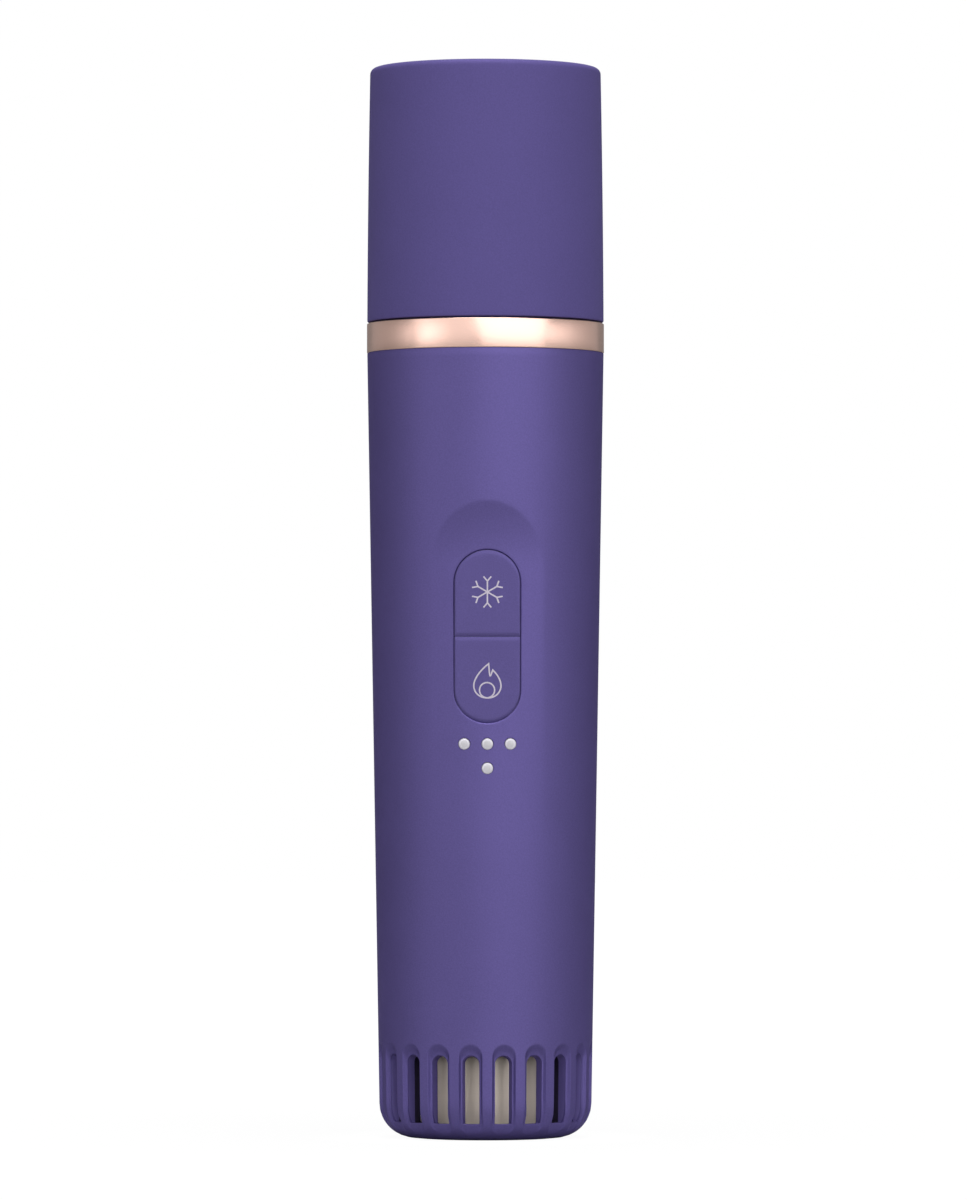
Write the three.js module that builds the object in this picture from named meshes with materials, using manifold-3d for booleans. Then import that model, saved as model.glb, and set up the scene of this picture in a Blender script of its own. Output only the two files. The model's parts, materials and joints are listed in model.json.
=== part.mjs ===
// A cordless hot and cold wand for taking puffiness out of the face, 171 mm tall and 38 mm across.
// A soft-touch cap pulls off the top and bares a polished metal head, which a Peltier module heats or cools.
// Air comes in through the neck, over the heat sink, down past the battery and the fan, and out of the vents
// at the foot. Millimetres, +Z up, the origin at the middle of the base, the buttons on the -Y side.
import * as THREE from "three";
import { mergeVertices } from "three/addons/utils/BufferGeometryUtils.js";
import { ConvexGeometry } from "three/addons/geometries/ConvexGeometry.js";
import Module from "manifold-3d";

// Clearances that the whole assembly shares.
const fitGap = 0.3; // between two pieces that seat in or on each other
const boardGap = 0.5; // between the circuit board and the battery
const cutOverrun = 1.0; // how far a cutting tool runs past what it cuts

// Handle shell: one tapered moulding, open at the top, with a rounded and vented foot.
const handleTopRadius = 18.95;
const handleFootRadius = 16.88;
const baseCornerRadius = 5.5;
const handleWall = 2.0;
const floorThickness = 2.4;
const floorCornerChamfer = 0.6;

// Shallow scoop on the handle's front, deepest under its round top edge. The wall is flat behind it.
const scoopDepth = 1.1;
const scoopFootRise = 29.0; // vents' tops up to where the scoop has run out
const scoopFade = 1.3; // power of its depth from its foot up
const scoopEasing = 0.15; // how softly its depth levels out, as a share of its length
const panelHalfWidth = 8.88;
const panelWall = 1.6;
const pillDrop = 45.6; // handle top down to the middle of the two buttons
const panelTopRise = 21.4; // middle of the buttons up to the scoop's top edge
const scoopLength = 10.0;
const panelFlatFall = 30.0; // middle of the buttons down to where the flat starts to run out
const panelFootRise = 9.0; // vents' tops up to where the flat has run out

// Vents round the foot.
const ventCount = 20;
const ventTop = 15.0;
const ventFoot = 1.0;
const ventOuterWidth = 3.36;
const ventInnerWidth = 2.3;
const ventScoop = 1.85; // how much lower the vent's top is at the inside of the wall
const ventFloorDepth = 2.5;

// Trim ring between the handle and the cap.
const ringProud = 0.05; // beyond the handle's rim
const ringHeight = 4.7;
const ringBevel = 0.25;
const ringBandWidth = 1.1;
const ringLipHeight = 1.2;

// Cap.
const capHeadRoom = 4.45; // between the head and the cap's roof
const capSetback = 0.05; // inside the ring's rim
const capTaper = 0.47;
const capBulge = 0.08;
const capRimRadius = 1.2;
const capWall = 1.6;
const capRoof = 1.8;
const capSeam = 0.25;

// Neck, which plugs into the handle and carries the head.
const neckRise = 25.5; // above the handle's top
const spigotDepth = 8.0;
const neckWall = 1.6;
const neckFlangeReach = 1.1;
const neckFlangeHeight = 1.5;
const intakeCount = 12;
const intakeWidth = 2.4;
const intakeMargin = 1.2; // seal groove up to the intake slots
const neckBossRadius = 2.2;
const neckBossHeight = 6.5;
const neckBossInset = 1.4; // from the neck's bore

// Friction ring that holds the cap on the neck.
const sealHeight = 2.0;
const sealGrooveDepth = 0.8;
const sealProud = 0.5;
const sealRiseOnNeck = 6.5; // handle top up to the groove's foot

// Metal head and the thermal stack under it.
const gasketHeight = 1.0;
const headRimInset = 0.5; // from the neck's outside
const headRimHeight = 2.5;
const headDomeHeight = 10.5;
const headSpigotDepth = 2.0;
const padThickness = 0.4;
const peltierMargin = 1.9; // from its corners to the neck's bore
const peltierThickness = 3.4;
const sinkBaseThickness = 2.5;
const sinkFinHeight = 20.0;
const sinkFinThickness = 1.0;
const sinkFinPitch = 2.8;
const sinkFinCount = 8;
const sinkFinInset = 1.2; // from the heat sink's rim
const headScrewInset = 2.3; // from the heat sink's rim
const headBossRadius = 1.95;
const wireWayHalfWidth = 3.2;
const wireWayDepth = 3.7; // from the heat sink's rim inwards
const thermistorRadius = 0.8;
const thermistorLength = 3.6;
const thermistorSink = 2.2; // how deep it sits in the head
const sensorOffset = 1.8; // sideways from the middle of the wire way

// Screws.
const screwRadius = 1.0;
const screwHeadRadius = 1.8;
const screwHeadHeight = 1.3;
const headScrewBite = 1.5;
const chassisScrewBite = 4.5;
const smallScrewRadius = 0.7;
const smallScrewHeadRadius = 1.4;
const smallScrewHeadHeight = 0.9;
const smallScrewBite = 4.0;

// Chassis that slides into the handle.
const chassisPlate = 1.5;
const chassisTopRim = 5.5;
const railThickness = 1.6;
const railRearMargin = 1.0; // from the chassis's rim
const chargeBayHeight = 15.0;
const wiringBayHeight = 3.9;
const standoffRadius = 1.6;

// Battery.
const batteryRadius = 9.15;
const batteryLength = 65.3;
const batterySideGap = 0.45;
const tabThickness = 0.35;
const tabHalfWidth = 3.0;
const tabReach = 12.0; // forward of the battery's axis

// Buttons, in one pill-shaped opening.
const pillHalfWidth = 5.34;
const pillHalfHeight = 13.92;
const buttonProud = 0.2;
const buttonEdge = 0.4;
const buttonFlangeReach = 0.8;
const buttonFlangeThickness = 0.8;
const buttonPostRadius = 1.3;
const buttonPostLength = 1.2;
const buttonTravel = 0.4;

// Tactile switches under the buttons.
const switchSide = 4.6;
const switchHeight = 1.5;
const stemRadius = 1.0;
const stemRise = 1.0; // above the switch's body
const stemSink = 0.45; // into the switch's body

// Light guide and its lamps: three in a row and one below.
const lampPinRadius = 0.89;
const lampPinProud = 0.15;
const lampPinTail = 2.4;
const lampRowFall = 17.2; // middle of the buttons down to the row
const lampPitch = 3.64;
const lampLowFall = 3.9; // the row down to the low lamp
const lampWebThickness = 0.8;
const lampWebMargin = 1.0;
const lampChipHalfWidth = 0.8;
const lampChipHalfHeight = 0.5;
const lampChipThickness = 0.6;

// Main circuit board, parallel with the panel, and what is soldered to it.
const boardSideMargin = 2.3; // from the handle's bore
const boardTopRise = 22.0;
const boardFootFall = 30.0;
const boardThickness = 1.0;
const standoffInset = 1.4;
const connectorHalfWidth = 5.0;
const connectorHeight = 3.0;
const connectorThickness = 2.5;
const chipSide = 4.4;
const chipThickness = 1.0;
const chipDrop = 3.4; // low lamp down to the middle of the chip
const inductorRadius = 2.0;
const inductorThickness = 2.2;
const inductorSideways = 7.6;

// Charging socket in the rear wall and its small board.
const portHalfWidth = 4.47;
const portHalfHeight = 1.63;
const portLength = 7.35;
const portWall = 0.35;
const portDepth = 6.0;
const portTongueHalfWidth = 3.3;
const portTongueThickness = 0.7;
const chargeBoardThickness = 0.9;
const chargeBoardHalfWidth = 6.4;
const chargeBoardRear = 13.2;
const chargeBoardFront = 4.0;

// Motor, fan and shroud in the foot.
const motorPadThickness = 0.5;
const motorRadius = 10.4;
const motorHeight = 14.0;
const motorWall = 0.8;
const motorRibThickness = 1.2; // the two ribs in the handle's foot that steady the motor
const statorHeight = 8.0;
const magnetRadius = 4.4;
const magnetGap = 0.6; // to the windings around it
const shaftRadius = 0.75;
const runningGap = 0.2;
const bearingRadius = 2.2;
const bearingLength = 2.8;
const shroudPlate = 1.2;
const shroudWall = 2.5;
const shroudArmCount = 3;
const shroudArmWidth = 2.4;
const fanClearance = 0.8;
const impellerTipGap = 0.5;
const impellerHeight = 6.0;
const impellerHubRadius = 7.5;
const impellerHubWall = 1.2;
const impellerBossRadius = 2.2;
const bladeCount = 7;
const bladeThickness = 0.9;
const bladePitchDegrees = 38;

// Leads.
const leadRadius = 0.6;
const fanLeadSideways = 4.4;
const chargeLeadSideways = 4.2;
const batteryLeadSideways = 1.6;
const leadBend = 2.4; // how far a lead runs straight before it turns

// How finely round things are cut.
const roundSides = 40;
const innerSides = 24;
const scoopSteps = 8;
const sideTurn = (2 * Math.PI) / roundSides;
const pinSides = 12;
const cornerSteps = 4;
const slotSteps = 3;
const pillSteps = 10;
const leadSides = 6;
const leadStep = 3.0;
const weldTolerance = 1e-3;

const wasm = await Module();
wasm.setup();

// A closed geometry as a solid that can be cut and joined, and a solid as a geometry again.
function solidFrom(geometry) {
  const bare = geometry.index ? geometry.toNonIndexed() : geometry.clone();
  bare.deleteAttribute("normal");
  bare.deleteAttribute("uv");
  const welded = mergeVertices(bare, weldTolerance);
  const vertProperties = welded.attributes.position.array;
  const triVerts = new Uint32Array(welded.index.array);
  return new wasm.Manifold(new wasm.Mesh({ numProp: 3, vertProperties, triVerts }));
}

function geometryFrom(solid) {
  const mesh = solid.getMesh();
  const geometry = new THREE.BufferGeometry();
  geometry.setAttribute("position", new THREE.BufferAttribute(mesh.vertProperties, 3));
  geometry.setIndex(new THREE.BufferAttribute(mesh.triVerts, 1));
  geometry.computeVertexNormals();
  return geometry;
}

const joinSolids = (geometries) => geometries.map(solidFrom).reduce((all, piece) => all.add(piece));
const joined = (...geometries) => geometryFrom(joinSolids(geometries));
const cut = (geometry, ...tools) => geometryFrom(solidFrom(geometry).subtract(joinSolids(tools)));
const common = (geometry, other) => geometryFrom(solidFrom(geometry).intersect(solidFrom(other)));

// Basic forms. Heights are along +Z, and an outline is a list of [radius, height] that goes up its outside.
const turned = (outline, sides = roundSides) =>
  new THREE.LatheGeometry(
    outline.map(([radius, height]) => new THREE.Vector2(radius, height)),
    sides,
  ).rotateX(Math.PI / 2);

const disc = (radius, bottom, top, sides = roundSides) =>
  turned([[0, bottom], [radius, bottom], [radius, top], [0, top]], sides);

const sleeve = (outer, inner, bottom, top, sides = roundSides) =>
  turned([[inner, bottom], [outer, bottom], [outer, top], [inner, top], [inner, bottom]], sides);

const pin = (radius, bottom, top, x = 0, y = 0) => disc(radius, bottom, top, pinSides).translate(x, y, 0);

const block = ([x0, x1], [y0, y1], [z0, z1]) =>
  new THREE.BoxGeometry(x1 - x0, y1 - y0, z1 - z0).translate((x0 + x1) / 2, (y0 + y1) / 2, (z0 + z1) / 2);

const arc = (centreRadius, centreHeight, radius, from, to) =>
  Array.from({ length: cornerSteps + 1 }, (_, i) => {
    const angle = from + ((to - from) * i) / cornerSteps;
    return [centreRadius + radius * Math.cos(angle), centreHeight + radius * Math.sin(angle)];
  });

// A flat outline drawn across X and Z, made solid between two depths along +Y.
const plate = (shape, near, far, curveSegments = pillSteps) =>
  new THREE.ExtrudeGeometry(shape, { depth: far - near, bevelEnabled: false, curveSegments })
    .rotateX(Math.PI / 2)
    .translate(0, far, 0);

function pillShape(halfWidth, halfHeight) {
  const straight = halfHeight - halfWidth;
  const shape = new THREE.Shape();
  shape.absarc(0, straight, halfWidth, 0, Math.PI, false);
  shape.absarc(0, -straight, halfWidth, Math.PI, 2 * Math.PI, false);
  return shape;
}

function upperHalfPill(halfWidth, halfHeight, foot) {
  const shape = new THREE.Shape();
  shape.moveTo(-halfWidth, foot);
  shape.lineTo(halfWidth, foot);
  shape.absarc(0, halfHeight - halfWidth, halfWidth, 0, Math.PI, false);
  return shape;
}

function lyingPill(halfWidth, halfHeight) {
  const straight = halfWidth - halfHeight;
  const shape = new THREE.Shape();
  shape.absarc(straight, 0, halfHeight, -Math.PI / 2, Math.PI / 2, false);
  shape.absarc(-straight, 0, halfHeight, Math.PI / 2, 1.5 * Math.PI, false);
  return shape;
}

// Heights worked out from the sizes above, from the foot up.
const motorFoot = floorThickness + motorPadThickness;
const motorTop = motorFoot + motorHeight;
const shroudFoot = motorTop + fitGap;
const impellerFoot = shroudFoot + shroudPlate + fanClearance;
const impellerTop = impellerFoot + impellerHeight;
const shroudTop = impellerTop + fanClearance;
const chassisFoot = shroudTop;
const chassisFootTop = chassisFoot + chassisPlate;
const batteryWallFoot = chassisFootTop + chargeBayHeight;
const batteryBayFoot = batteryWallFoot + chassisPlate;
const batteryFoot = batteryBayFoot + fitGap + tabThickness;
const batteryTop = batteryFoot + batteryLength;
const batteryBayTop = batteryTop + tabThickness + fitGap;
const chassisTopFoot = batteryBayTop + chassisPlate + wiringBayHeight;
const chassisTop = chassisTopFoot + chassisPlate;
const neckFoot = chassisTop;
const handleHeight = neckFoot + spigotDepth;

// Radii of the outer pieces, and of what fits inside them.
const handleRadiusAt = (height) =>
  handleFootRadius + ((handleTopRadius - handleFootRadius) * height) / handleHeight;
const handleBoreAt = (height) => handleRadiusAt(height) - handleWall;
const ringRadius = handleTopRadius + ringProud;
const capFootRadius = ringRadius - capSetback;
const capTopRadius = capFootRadius - capTaper;
const capInnerFootRadius = capFootRadius - capWall;
const capInnerTopRadius = capTopRadius - capWall;
const shroudRadius = handleBoreAt(shroudFoot) - fitGap;
const shroudBore = shroudRadius - shroudWall;
const impellerRadius = shroudBore - impellerTipGap;
const shroudScrewReach = (shroudRadius + shroudBore) / 2;
const fanLeadLine = Math.sqrt(shroudRadius ** 2 - fanLeadSideways ** 2) - leadRadius - fitGap;
const chassisTopRadius = handleBoreAt(chassisTopFoot) - fitGap;
const chassisTopWindow = chassisTopRadius - chassisTopRim;
const chassisFootWindow = shroudBore - fitGap;

// The panel's own frame: X across, Y into the handle, Z up along the panel, origin between the buttons.
const pillHeight = handleHeight - pillDrop;
const chordAt = (height) => Math.sqrt(handleRadiusAt(height) ** 2 - panelHalfWidth ** 2);
const panelDepth = handleRadiusAt(pillHeight) - chordAt(pillHeight);
const panelRunout = pillHeight - panelFlatFall - ventTop - panelFootRise;
const panelTilt = Math.atan(
  (chordAt(pillHeight + panelTopRise) - chordAt(pillHeight - panelFlatFall)) / (panelTopRise + panelFlatFall),
);
const panelFrame = new THREE.Group();
panelFrame.position.set(0, -chordAt(pillHeight), pillHeight);
panelFrame.rotation.x = panelTilt;
panelFrame.updateMatrix();
const fromPanel = (geometry) => geometry.applyMatrix4(panelFrame.matrix);

// How far forward of the wand's axis the scoop's face is.
const scoopFoot = ventTop + scoopFootRise;
const scoopTop = pillHeight + panelTopRise;
const archFoot = scoopTop - scoopLength;
const scoopDepthAt = (height) => {
  const share = (height - scoopFoot) / (archFoot - scoopFoot);
  const levelled = (1 + share - Math.sqrt((1 - share) ** 2 + scoopEasing ** 2)) / 2;
  return scoopDepth * Math.max(levelled, 0) ** scoopFade;
};
const scoopFace = (x, height) => {
  const rise = Math.max(height - archFoot, 0) / scoopLength;
  const within = 1 - (x / panelHalfWidth) ** 2 - rise ** 2;
  return Math.sqrt(handleRadiusAt(height) ** 2 - x ** 2) - scoopDepthAt(height) * within;
};
const intoPanel = panelFrame.matrix.clone().invert();
const scoopRise = (x, z) => {
  const height = pillHeight + z * Math.cos(panelTilt);
  return -new THREE.Vector3(x, -scoopFace(x, height), height).applyMatrix4(intoPanel).y;
};
const buttonFront = scoopRise(0, pillHalfHeight) + buttonProud;

// Depths behind the panel's frame.
const flangeNear = panelWall + fitGap;
const flangeFar = flangeNear + buttonFlangeThickness;
const stemNear = flangeFar + buttonPostLength;
const switchNear = stemNear + stemRise;
const boardNear = switchNear + switchHeight;
const boardFar = boardNear + boardThickness;
const buttonMiddle = pillHalfHeight / 2;
const boardFootBack = -chordAt(pillHeight) + boardFar + Math.sin(panelTilt) * boardFootFall;
const batteryAxis = boardFootBack + boardGap + batteryRadius;
const railNear = batteryRadius + batterySideGap;
const railFar = railNear + railThickness;
const railFront = boardFootBack + fitGap;
const railRim = Math.min(shroudRadius, chassisTopRadius) - railRearMargin;
const railRear = Math.sqrt(railRim ** 2 - railFar ** 2);
const boardHalfWidth =
  Math.sqrt(handleBoreAt(pillHeight) ** 2 - (chordAt(pillHeight) - boardNear) ** 2) - boardSideMargin;
const standoffSideways = boardHalfWidth - standoffInset;

// The charging socket, on its board in the bay under the battery.
const portHeight = chassisFootTop + chargeBayHeight / 2;
const portMouth = handleBoreAt(portHeight) - fitGap;
const chargeBoardTop = portHeight - portHalfHeight;
const chargeBoardFoot = chargeBoardTop - chargeBoardThickness;
const chargeBoardMiddle = (chargeBoardFoot + chargeBoardTop) / 2;

// The ring, neck, head and cap, upwards from the handle's top.
const ringTop = handleHeight + ringHeight;
const neckTop = handleHeight + neckRise;
const neckRadius = handleBoreAt(neckFoot) - fitGap;
const neckBore = neckRadius - neckWall;
const neckBossReach = neckBore - neckBossInset;
const flangeFoot = handleHeight + ringLipHeight;
const flangeTop = flangeFoot + neckFlangeHeight;
const flangeRadius = neckRadius + neckFlangeReach;
const sealFoot = handleHeight + sealRiseOnNeck;
const headFoot = neckTop + gasketHeight;
const headUnderside = neckTop - headSpigotDepth;
const headSpigotRadius = neckBore - fitGap;
const headRimRadius = neckRadius - headRimInset;
const peltierTop = headUnderside - padThickness;
const peltierFoot = peltierTop - peltierThickness;
const sinkTop = peltierFoot - padThickness;
const sinkBaseFoot = sinkTop - sinkBaseThickness;
const sinkFoot = sinkBaseFoot - sinkFinHeight;
const sinkRadius = headSpigotRadius;
const sinkFinRadius = sinkRadius - sinkFinInset;
const headScrewReach = sinkRadius - headScrewInset;
const peltierSide = Math.SQRT2 * (sinkRadius - peltierMargin);
const wireWayFront = sinkRadius - wireWayDepth;
const wireLine = -(wireWayFront + wireWayDepth / 2);
const capFoot = ringTop + capSeam;
const capTop = headFoot + headRimHeight + headDomeHeight + capHeadRoom + capRoof;

// Finishes.
const finish = (color, roughness, metalness = 0) =>
  new THREE.MeshStandardMaterial({ color, roughness, metalness });
const softTouch = finish(0x62589a, 0.55);
const softTouchDark = finish(0x554c88, 0.6);
const roseGold = finish(0xe8b9a6, 0.22, 1);
const polishedMetal = finish(0xd8d9dc, 0.18, 1);
const champagneMetal = finish(0xb8a796, 0.4, 1);
const aluminium = finish(0xb9bcc0, 0.45, 1);
const steel = finish(0x9a9ca0, 0.35, 1);
const nickel = finish(0xc3c0b4, 0.35, 1);
const brass = finish(0xb08d4a, 0.35, 1);
const greySilicone = finish(0x8c8b92, 0.75);
const whitePlastic = finish(0xe9e8ea, 0.45);
const milkyPlastic = finish(0xe4e2ea, 0.3);
const blackPlastic = finish(0x1c1c20, 0.6);
const ceramicWhite = finish(0xf1f0ec, 0.5);
const foamBlack = finish(0x2a2a2c, 0.95);
const boardGreen = finish(0x1f5a3c, 0.5);
const batterySleeve = finish(0x3b6fb0, 0.4);
const copper = finish(0xb5693c, 0.35, 1);
const redWire = finish(0xb3262b, 0.5);
const blackWire = finish(0x202024, 0.5);

const wand = new THREE.Group();
wand.add(panelFrame);

function place(name, geometry, material, parent = wand) {
  const mesh = new THREE.Mesh(geometry, material);
  mesh.name = name;
  parent.add(mesh);
}

// Outline of the tool that shapes the flat behind the scoop, in the panel's frame: an arc that eases off the
// flat until it has climbed out of the handle, as [depth, height] from the flat's end.
function easedOut(length, depth) {
  const radius = (length ** 2 + depth ** 2) / (2 * depth);
  const sweep = Math.acos((radius - depth - cutOverrun) / radius);
  return Array.from({ length: cornerSteps + 1 }, (_, i) => {
    const angle = (sweep * i) / cornerSteps;
    return [-(radius - radius * Math.cos(angle)), radius * Math.sin(angle)];
  });
}

function panelTool() {
  const flatTop = panelTopRise - scoopLength;
  const upper = easedOut(scoopLength, panelDepth).map(([depth, rise]) => [depth, flatTop + rise]);
  const lower = easedOut(panelRunout, panelDepth).map(([depth, rise]) => [depth, -panelFlatFall - rise]);
  const shape = new THREE.Shape();
  [...lower.reverse(), ...upper].forEach(([depth, height], i) =>
    i ? shape.lineTo(depth, height) : shape.moveTo(depth, height),
  );
  const halfSpan = handleTopRadius + cutOverrun;
  return new THREE.ExtrudeGeometry(shape, { depth: 2 * halfSpan, bevelEnabled: false })
    .translate(0, 0, -halfSpan)
    .rotateY(Math.PI / 2)
    .rotateX(Math.PI / 2);
}

// A closed solid between two sheets of points, each a list of rows from its foot up, left to right.
function between(back, front) {
  const spots = [];
  const quad = (a, b, c, d) => spots.push(...a, ...b, ...c, ...a, ...c, ...d);
  const rows = back.length - 1;
  const columns = back[0].length - 1;
  for (let j = 0; j < rows; j++) {
    for (let k = 0; k < columns; k++) {
      quad(back[j][k], back[j + 1][k], back[j + 1][k + 1], back[j][k + 1]);
      quad(front[j][k], front[j][k + 1], front[j + 1][k + 1], front[j + 1][k]);
    }
    quad(back[j][0], front[j][0], front[j + 1][0], back[j + 1][0]);
    quad(back[j][columns], back[j + 1][columns], front[j + 1][columns], front[j][columns]);
  }
  for (let k = 0; k < columns; k++) {
    quad(back[0][k], back[0][k + 1], front[0][k + 1], front[0][k]);
    quad(back[rows][k], front[rows][k], front[rows][k + 1], back[rows][k + 1]);
  }
  const geometry = new THREE.BufferGeometry();
  return geometry.setAttribute("position", new THREE.Float32BufferAttribute(spots, 3));
}

const steps = (count, from, to) =>
  Array.from({ length: count + 1 }, (_, i) => from + ((to - from) * i) / count);

// The tool for the scoop: its columns stand on the corners of the handle's sides.
function scoopTool() {
  const lowSteps = 2 * scoopSteps;
  const heights = [
    ...steps(lowSteps, scoopFoot, archFoot).slice(1, -1),
    ...steps(scoopSteps, archFoot, scoopTop + cutOverrun),
  ];
  const reach = Math.ceil(Math.asin(panelHalfWidth / handleFootRadius) / sideTurn);
  const columns = Array.from({ length: 2 * reach + 1 }, (_, k) => (k - reach) * sideTurn);
  const sheet = (forward) =>
    heights.map((height) =>
      columns.map((turn) => {
        const x = handleRadiusAt(height) * Math.sin(turn);
        return [x, -forward(x, height), height];
      }),
    );
  return between(
    sheet(scoopFace),
    sheet((x, height) => scoopFace(x, height) + scoopDepth + cutOverrun),
  );
}

// One vent: a pocket that narrows inwards and breaks through the wall.
function ventTool() {
  const wallOutside = handleRadiusAt(ventTop);
  const sectionAt = (radius) => {
    const inwards = (wallOutside - radius) / handleWall;
    return {
      half: (ventOuterWidth - (ventOuterWidth - ventInnerWidth) * inwards) / 2,
      top: ventTop - ventScoop * inwards,
    };
  };
  const points = [];
  for (const radius of [handleRadiusAt(0) - ventFloorDepth, wallOutside + cutOverrun]) {
    const { half, top } = sectionAt(radius);
    for (let i = 0; i <= cornerSteps; i++) {
      const angle = (Math.PI * i) / cornerSteps;
      const across = half * Math.cos(angle);
      const along = half * Math.sin(angle);
      points.push(new THREE.Vector3(across, -radius, top - half + along));
      points.push(new THREE.Vector3(across, -radius, ventFoot + half - along));
    }
  }
  return new ConvexGeometry(points);
}

function buildHandleShell() {
  const cornerCentre = handleRadiusAt(baseCornerRadius) - baseCornerRadius;
  const body = turned([
    [0, 0],
    ...arc(cornerCentre, baseCornerRadius, baseCornerRadius, -Math.PI / 2, 0),
    [handleTopRadius, handleHeight],
    [0, handleHeight],
  ]);
  const boreTop = handleHeight + cutOverrun;
  const floorBore = handleBoreAt(floorThickness);
  const bore = turned([
    [0, floorThickness],
    [floorBore - floorCornerChamfer, floorThickness],
    [floorBore, floorThickness + floorCornerChamfer],
    [handleBoreAt(boreTop), boreTop],
    [0, boreTop],
  ]);
  const roomInside = cut(bore, fromPanel(panelTool().translate(0, panelWall, 0)));
  const openingFront = -panelDepth - cutOverrun;
  const pillOpening = fromPanel(plate(pillShape(pillHalfWidth, pillHalfHeight), openingFront, flangeNear));
  const lampHoleRadius = lampPinRadius + fitGap / 2;
  const openingDepth = flangeNear - openingFront;
  const lampHoles = lampPlaces.map(([x, z]) =>
    fromPanel(
      new THREE.CylinderGeometry(lampHoleRadius, lampHoleRadius, openingDepth, pinSides).translate(
        x,
        (flangeNear + openingFront) / 2,
        z,
      ),
    ),
  );
  const portOpening = plate(
    lyingPill(portHalfWidth + fitGap, portHalfHeight + fitGap),
    handleBoreAt(portHeight) - cutOverrun,
    handleRadiusAt(portHeight) + cutOverrun,
  ).translate(0, 0, portHeight);
  const firstVent = Math.PI / ventCount;
  const vents = Array.from({ length: ventCount }, (_, i) =>
    ventTool().rotateZ(firstVent + (2 * Math.PI * i) / ventCount),
  );
  const hollow = cut(body, scoopTool(), roomInside, pillOpening, ...lampHoles, portOpening, ...vents);
  const rib = block(
    [motorRadius + fitGap, floorBore + fitGap],
    [-motorRibThickness / 2, motorRibThickness / 2],
    [floorThickness - fitGap, shroudFoot - fitGap],
  );
  return joined(hollow, rib, rib.clone().rotateZ(Math.PI));
}

// Lamps, as [x, z] in the panel's frame.
const lampPlaces = [
  [-lampPitch, -lampRowFall],
  [0, -lampRowFall],
  [lampPitch, -lampRowFall],
  [0, -lampRowFall - lampLowFall],
];

place("handle_shell", buildHandleShell(), softTouch);

// Trim ring: a bevelled band with a lip that the neck's flange clamps to the handle's rim.
const bandBore = ringRadius - ringBandWidth;
const lipBore = neckRadius + fitGap;
place(
  "trim_ring",
  turned([
    [lipBore, handleHeight],
    [ringRadius - ringBevel, handleHeight],
    [ringRadius, handleHeight + ringBevel],
    [ringRadius, ringTop - ringBevel],
    [ringRadius - ringBevel, ringTop],
    [bandBore, ringTop],
    [bandBore, flangeFoot],
    [lipBore, flangeFoot],
    [lipBore, handleHeight],
  ]),
  roseGold,
);

// Cap: a cup with a slightly bulged, tapered side and a rounded rim.
function buildCap() {
  const capMiddle = (capFoot + capTop) / 2;
  const middleRadius = (capFootRadius + capTopRadius) / 2 + capBulge;
  const roofInside = capTop - capRoof;
  return turned([
    [capInnerFootRadius, capFoot],
    [capFootRadius, capFoot],
    [middleRadius, capMiddle],
    ...arc(capTopRadius - capRimRadius, capTop - capRimRadius, capRimRadius, 0, Math.PI / 2),
    [0, capTop],
    [0, roofInside],
    [capInnerTopRadius - capRimRadius, roofInside],
    [capInnerTopRadius, roofInside - capRimRadius],
    [capInnerFootRadius, capFoot],
  ]);
}
place("cap_shell", buildCap(), softTouch);

// Neck: spigot, clamping flange, seal groove, air intake slots and two screw bosses.
function buildNeck() {
  const sealTop = sealFoot + sealHeight;
  const grooveRadius = neckRadius - sealGrooveDepth;
  const tube = turned([
    [neckBore, neckFoot],
    [neckRadius, neckFoot],
    [neckRadius, flangeFoot],
    [flangeRadius, flangeFoot],
    [flangeRadius, flangeTop],
    [neckRadius, flangeTop],
    [neckRadius, sealFoot],
    [grooveRadius, sealFoot],
    [grooveRadius, sealTop],
    [neckRadius, sealTop],
    [neckRadius, neckTop],
    [neckBore, neckTop],
    [neckBore, neckFoot],
  ]);
  const bosses = [-neckBossReach, neckBossReach].map((x) =>
    common(
      pin(neckBossRadius, neckFoot, neckFoot + neckBossHeight, x),
      disc(neckRadius - fitGap, neckFoot, neckFoot + neckBossHeight),
    ),
  );
  const screwHoles = [-neckBossReach, neckBossReach].map((x) =>
    pin(screwRadius + fitGap, neckFoot - cutOverrun, neckFoot + chassisScrewBite + fitGap, x),
  );
  const slotFoot = sealTop + intakeMargin;
  const slotHalf = (sinkBaseFoot - slotFoot) / 2;
  const slots = Array.from({ length: intakeCount }, (_, i) =>
    plate(pillShape(intakeWidth / 2, slotHalf), neckBore - cutOverrun, neckRadius + cutOverrun, slotSteps)
      .translate(0, 0, slotFoot + slotHalf)
      .rotateZ((2 * Math.PI * (i + 0.5)) / intakeCount),
  );
  return cut(joined(tube, ...bosses), ...screwHoles, ...slots);
}
place("neck_collar", buildNeck(), softTouchDark);

// Friction ring in the neck's groove, rounded where the cap rides over it.
function buildSeal() {
  const inner = neckRadius - sealGrooveDepth + fitGap;
  const outer = neckRadius + sealProud;
  const foot = sealFoot + fitGap / 2;
  const top = sealFoot + sealHeight - fitGap / 2;
  const third = (top - foot) / 3;
  return turned([
    [inner, foot],
    [outer - third, foot],
    [outer, foot + third],
    [outer, top - third],
    [outer - third, top],
    [inner, top],
    [inner, foot],
  ]);
}
place("neck_seal", buildSeal(), greySilicone);

// Gasket that keeps the head's heat off the neck and water out of it.
place("head_gasket", sleeve(headRimRadius, headSpigotRadius + fitGap, neckTop, headFoot), greySilicone);

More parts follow.
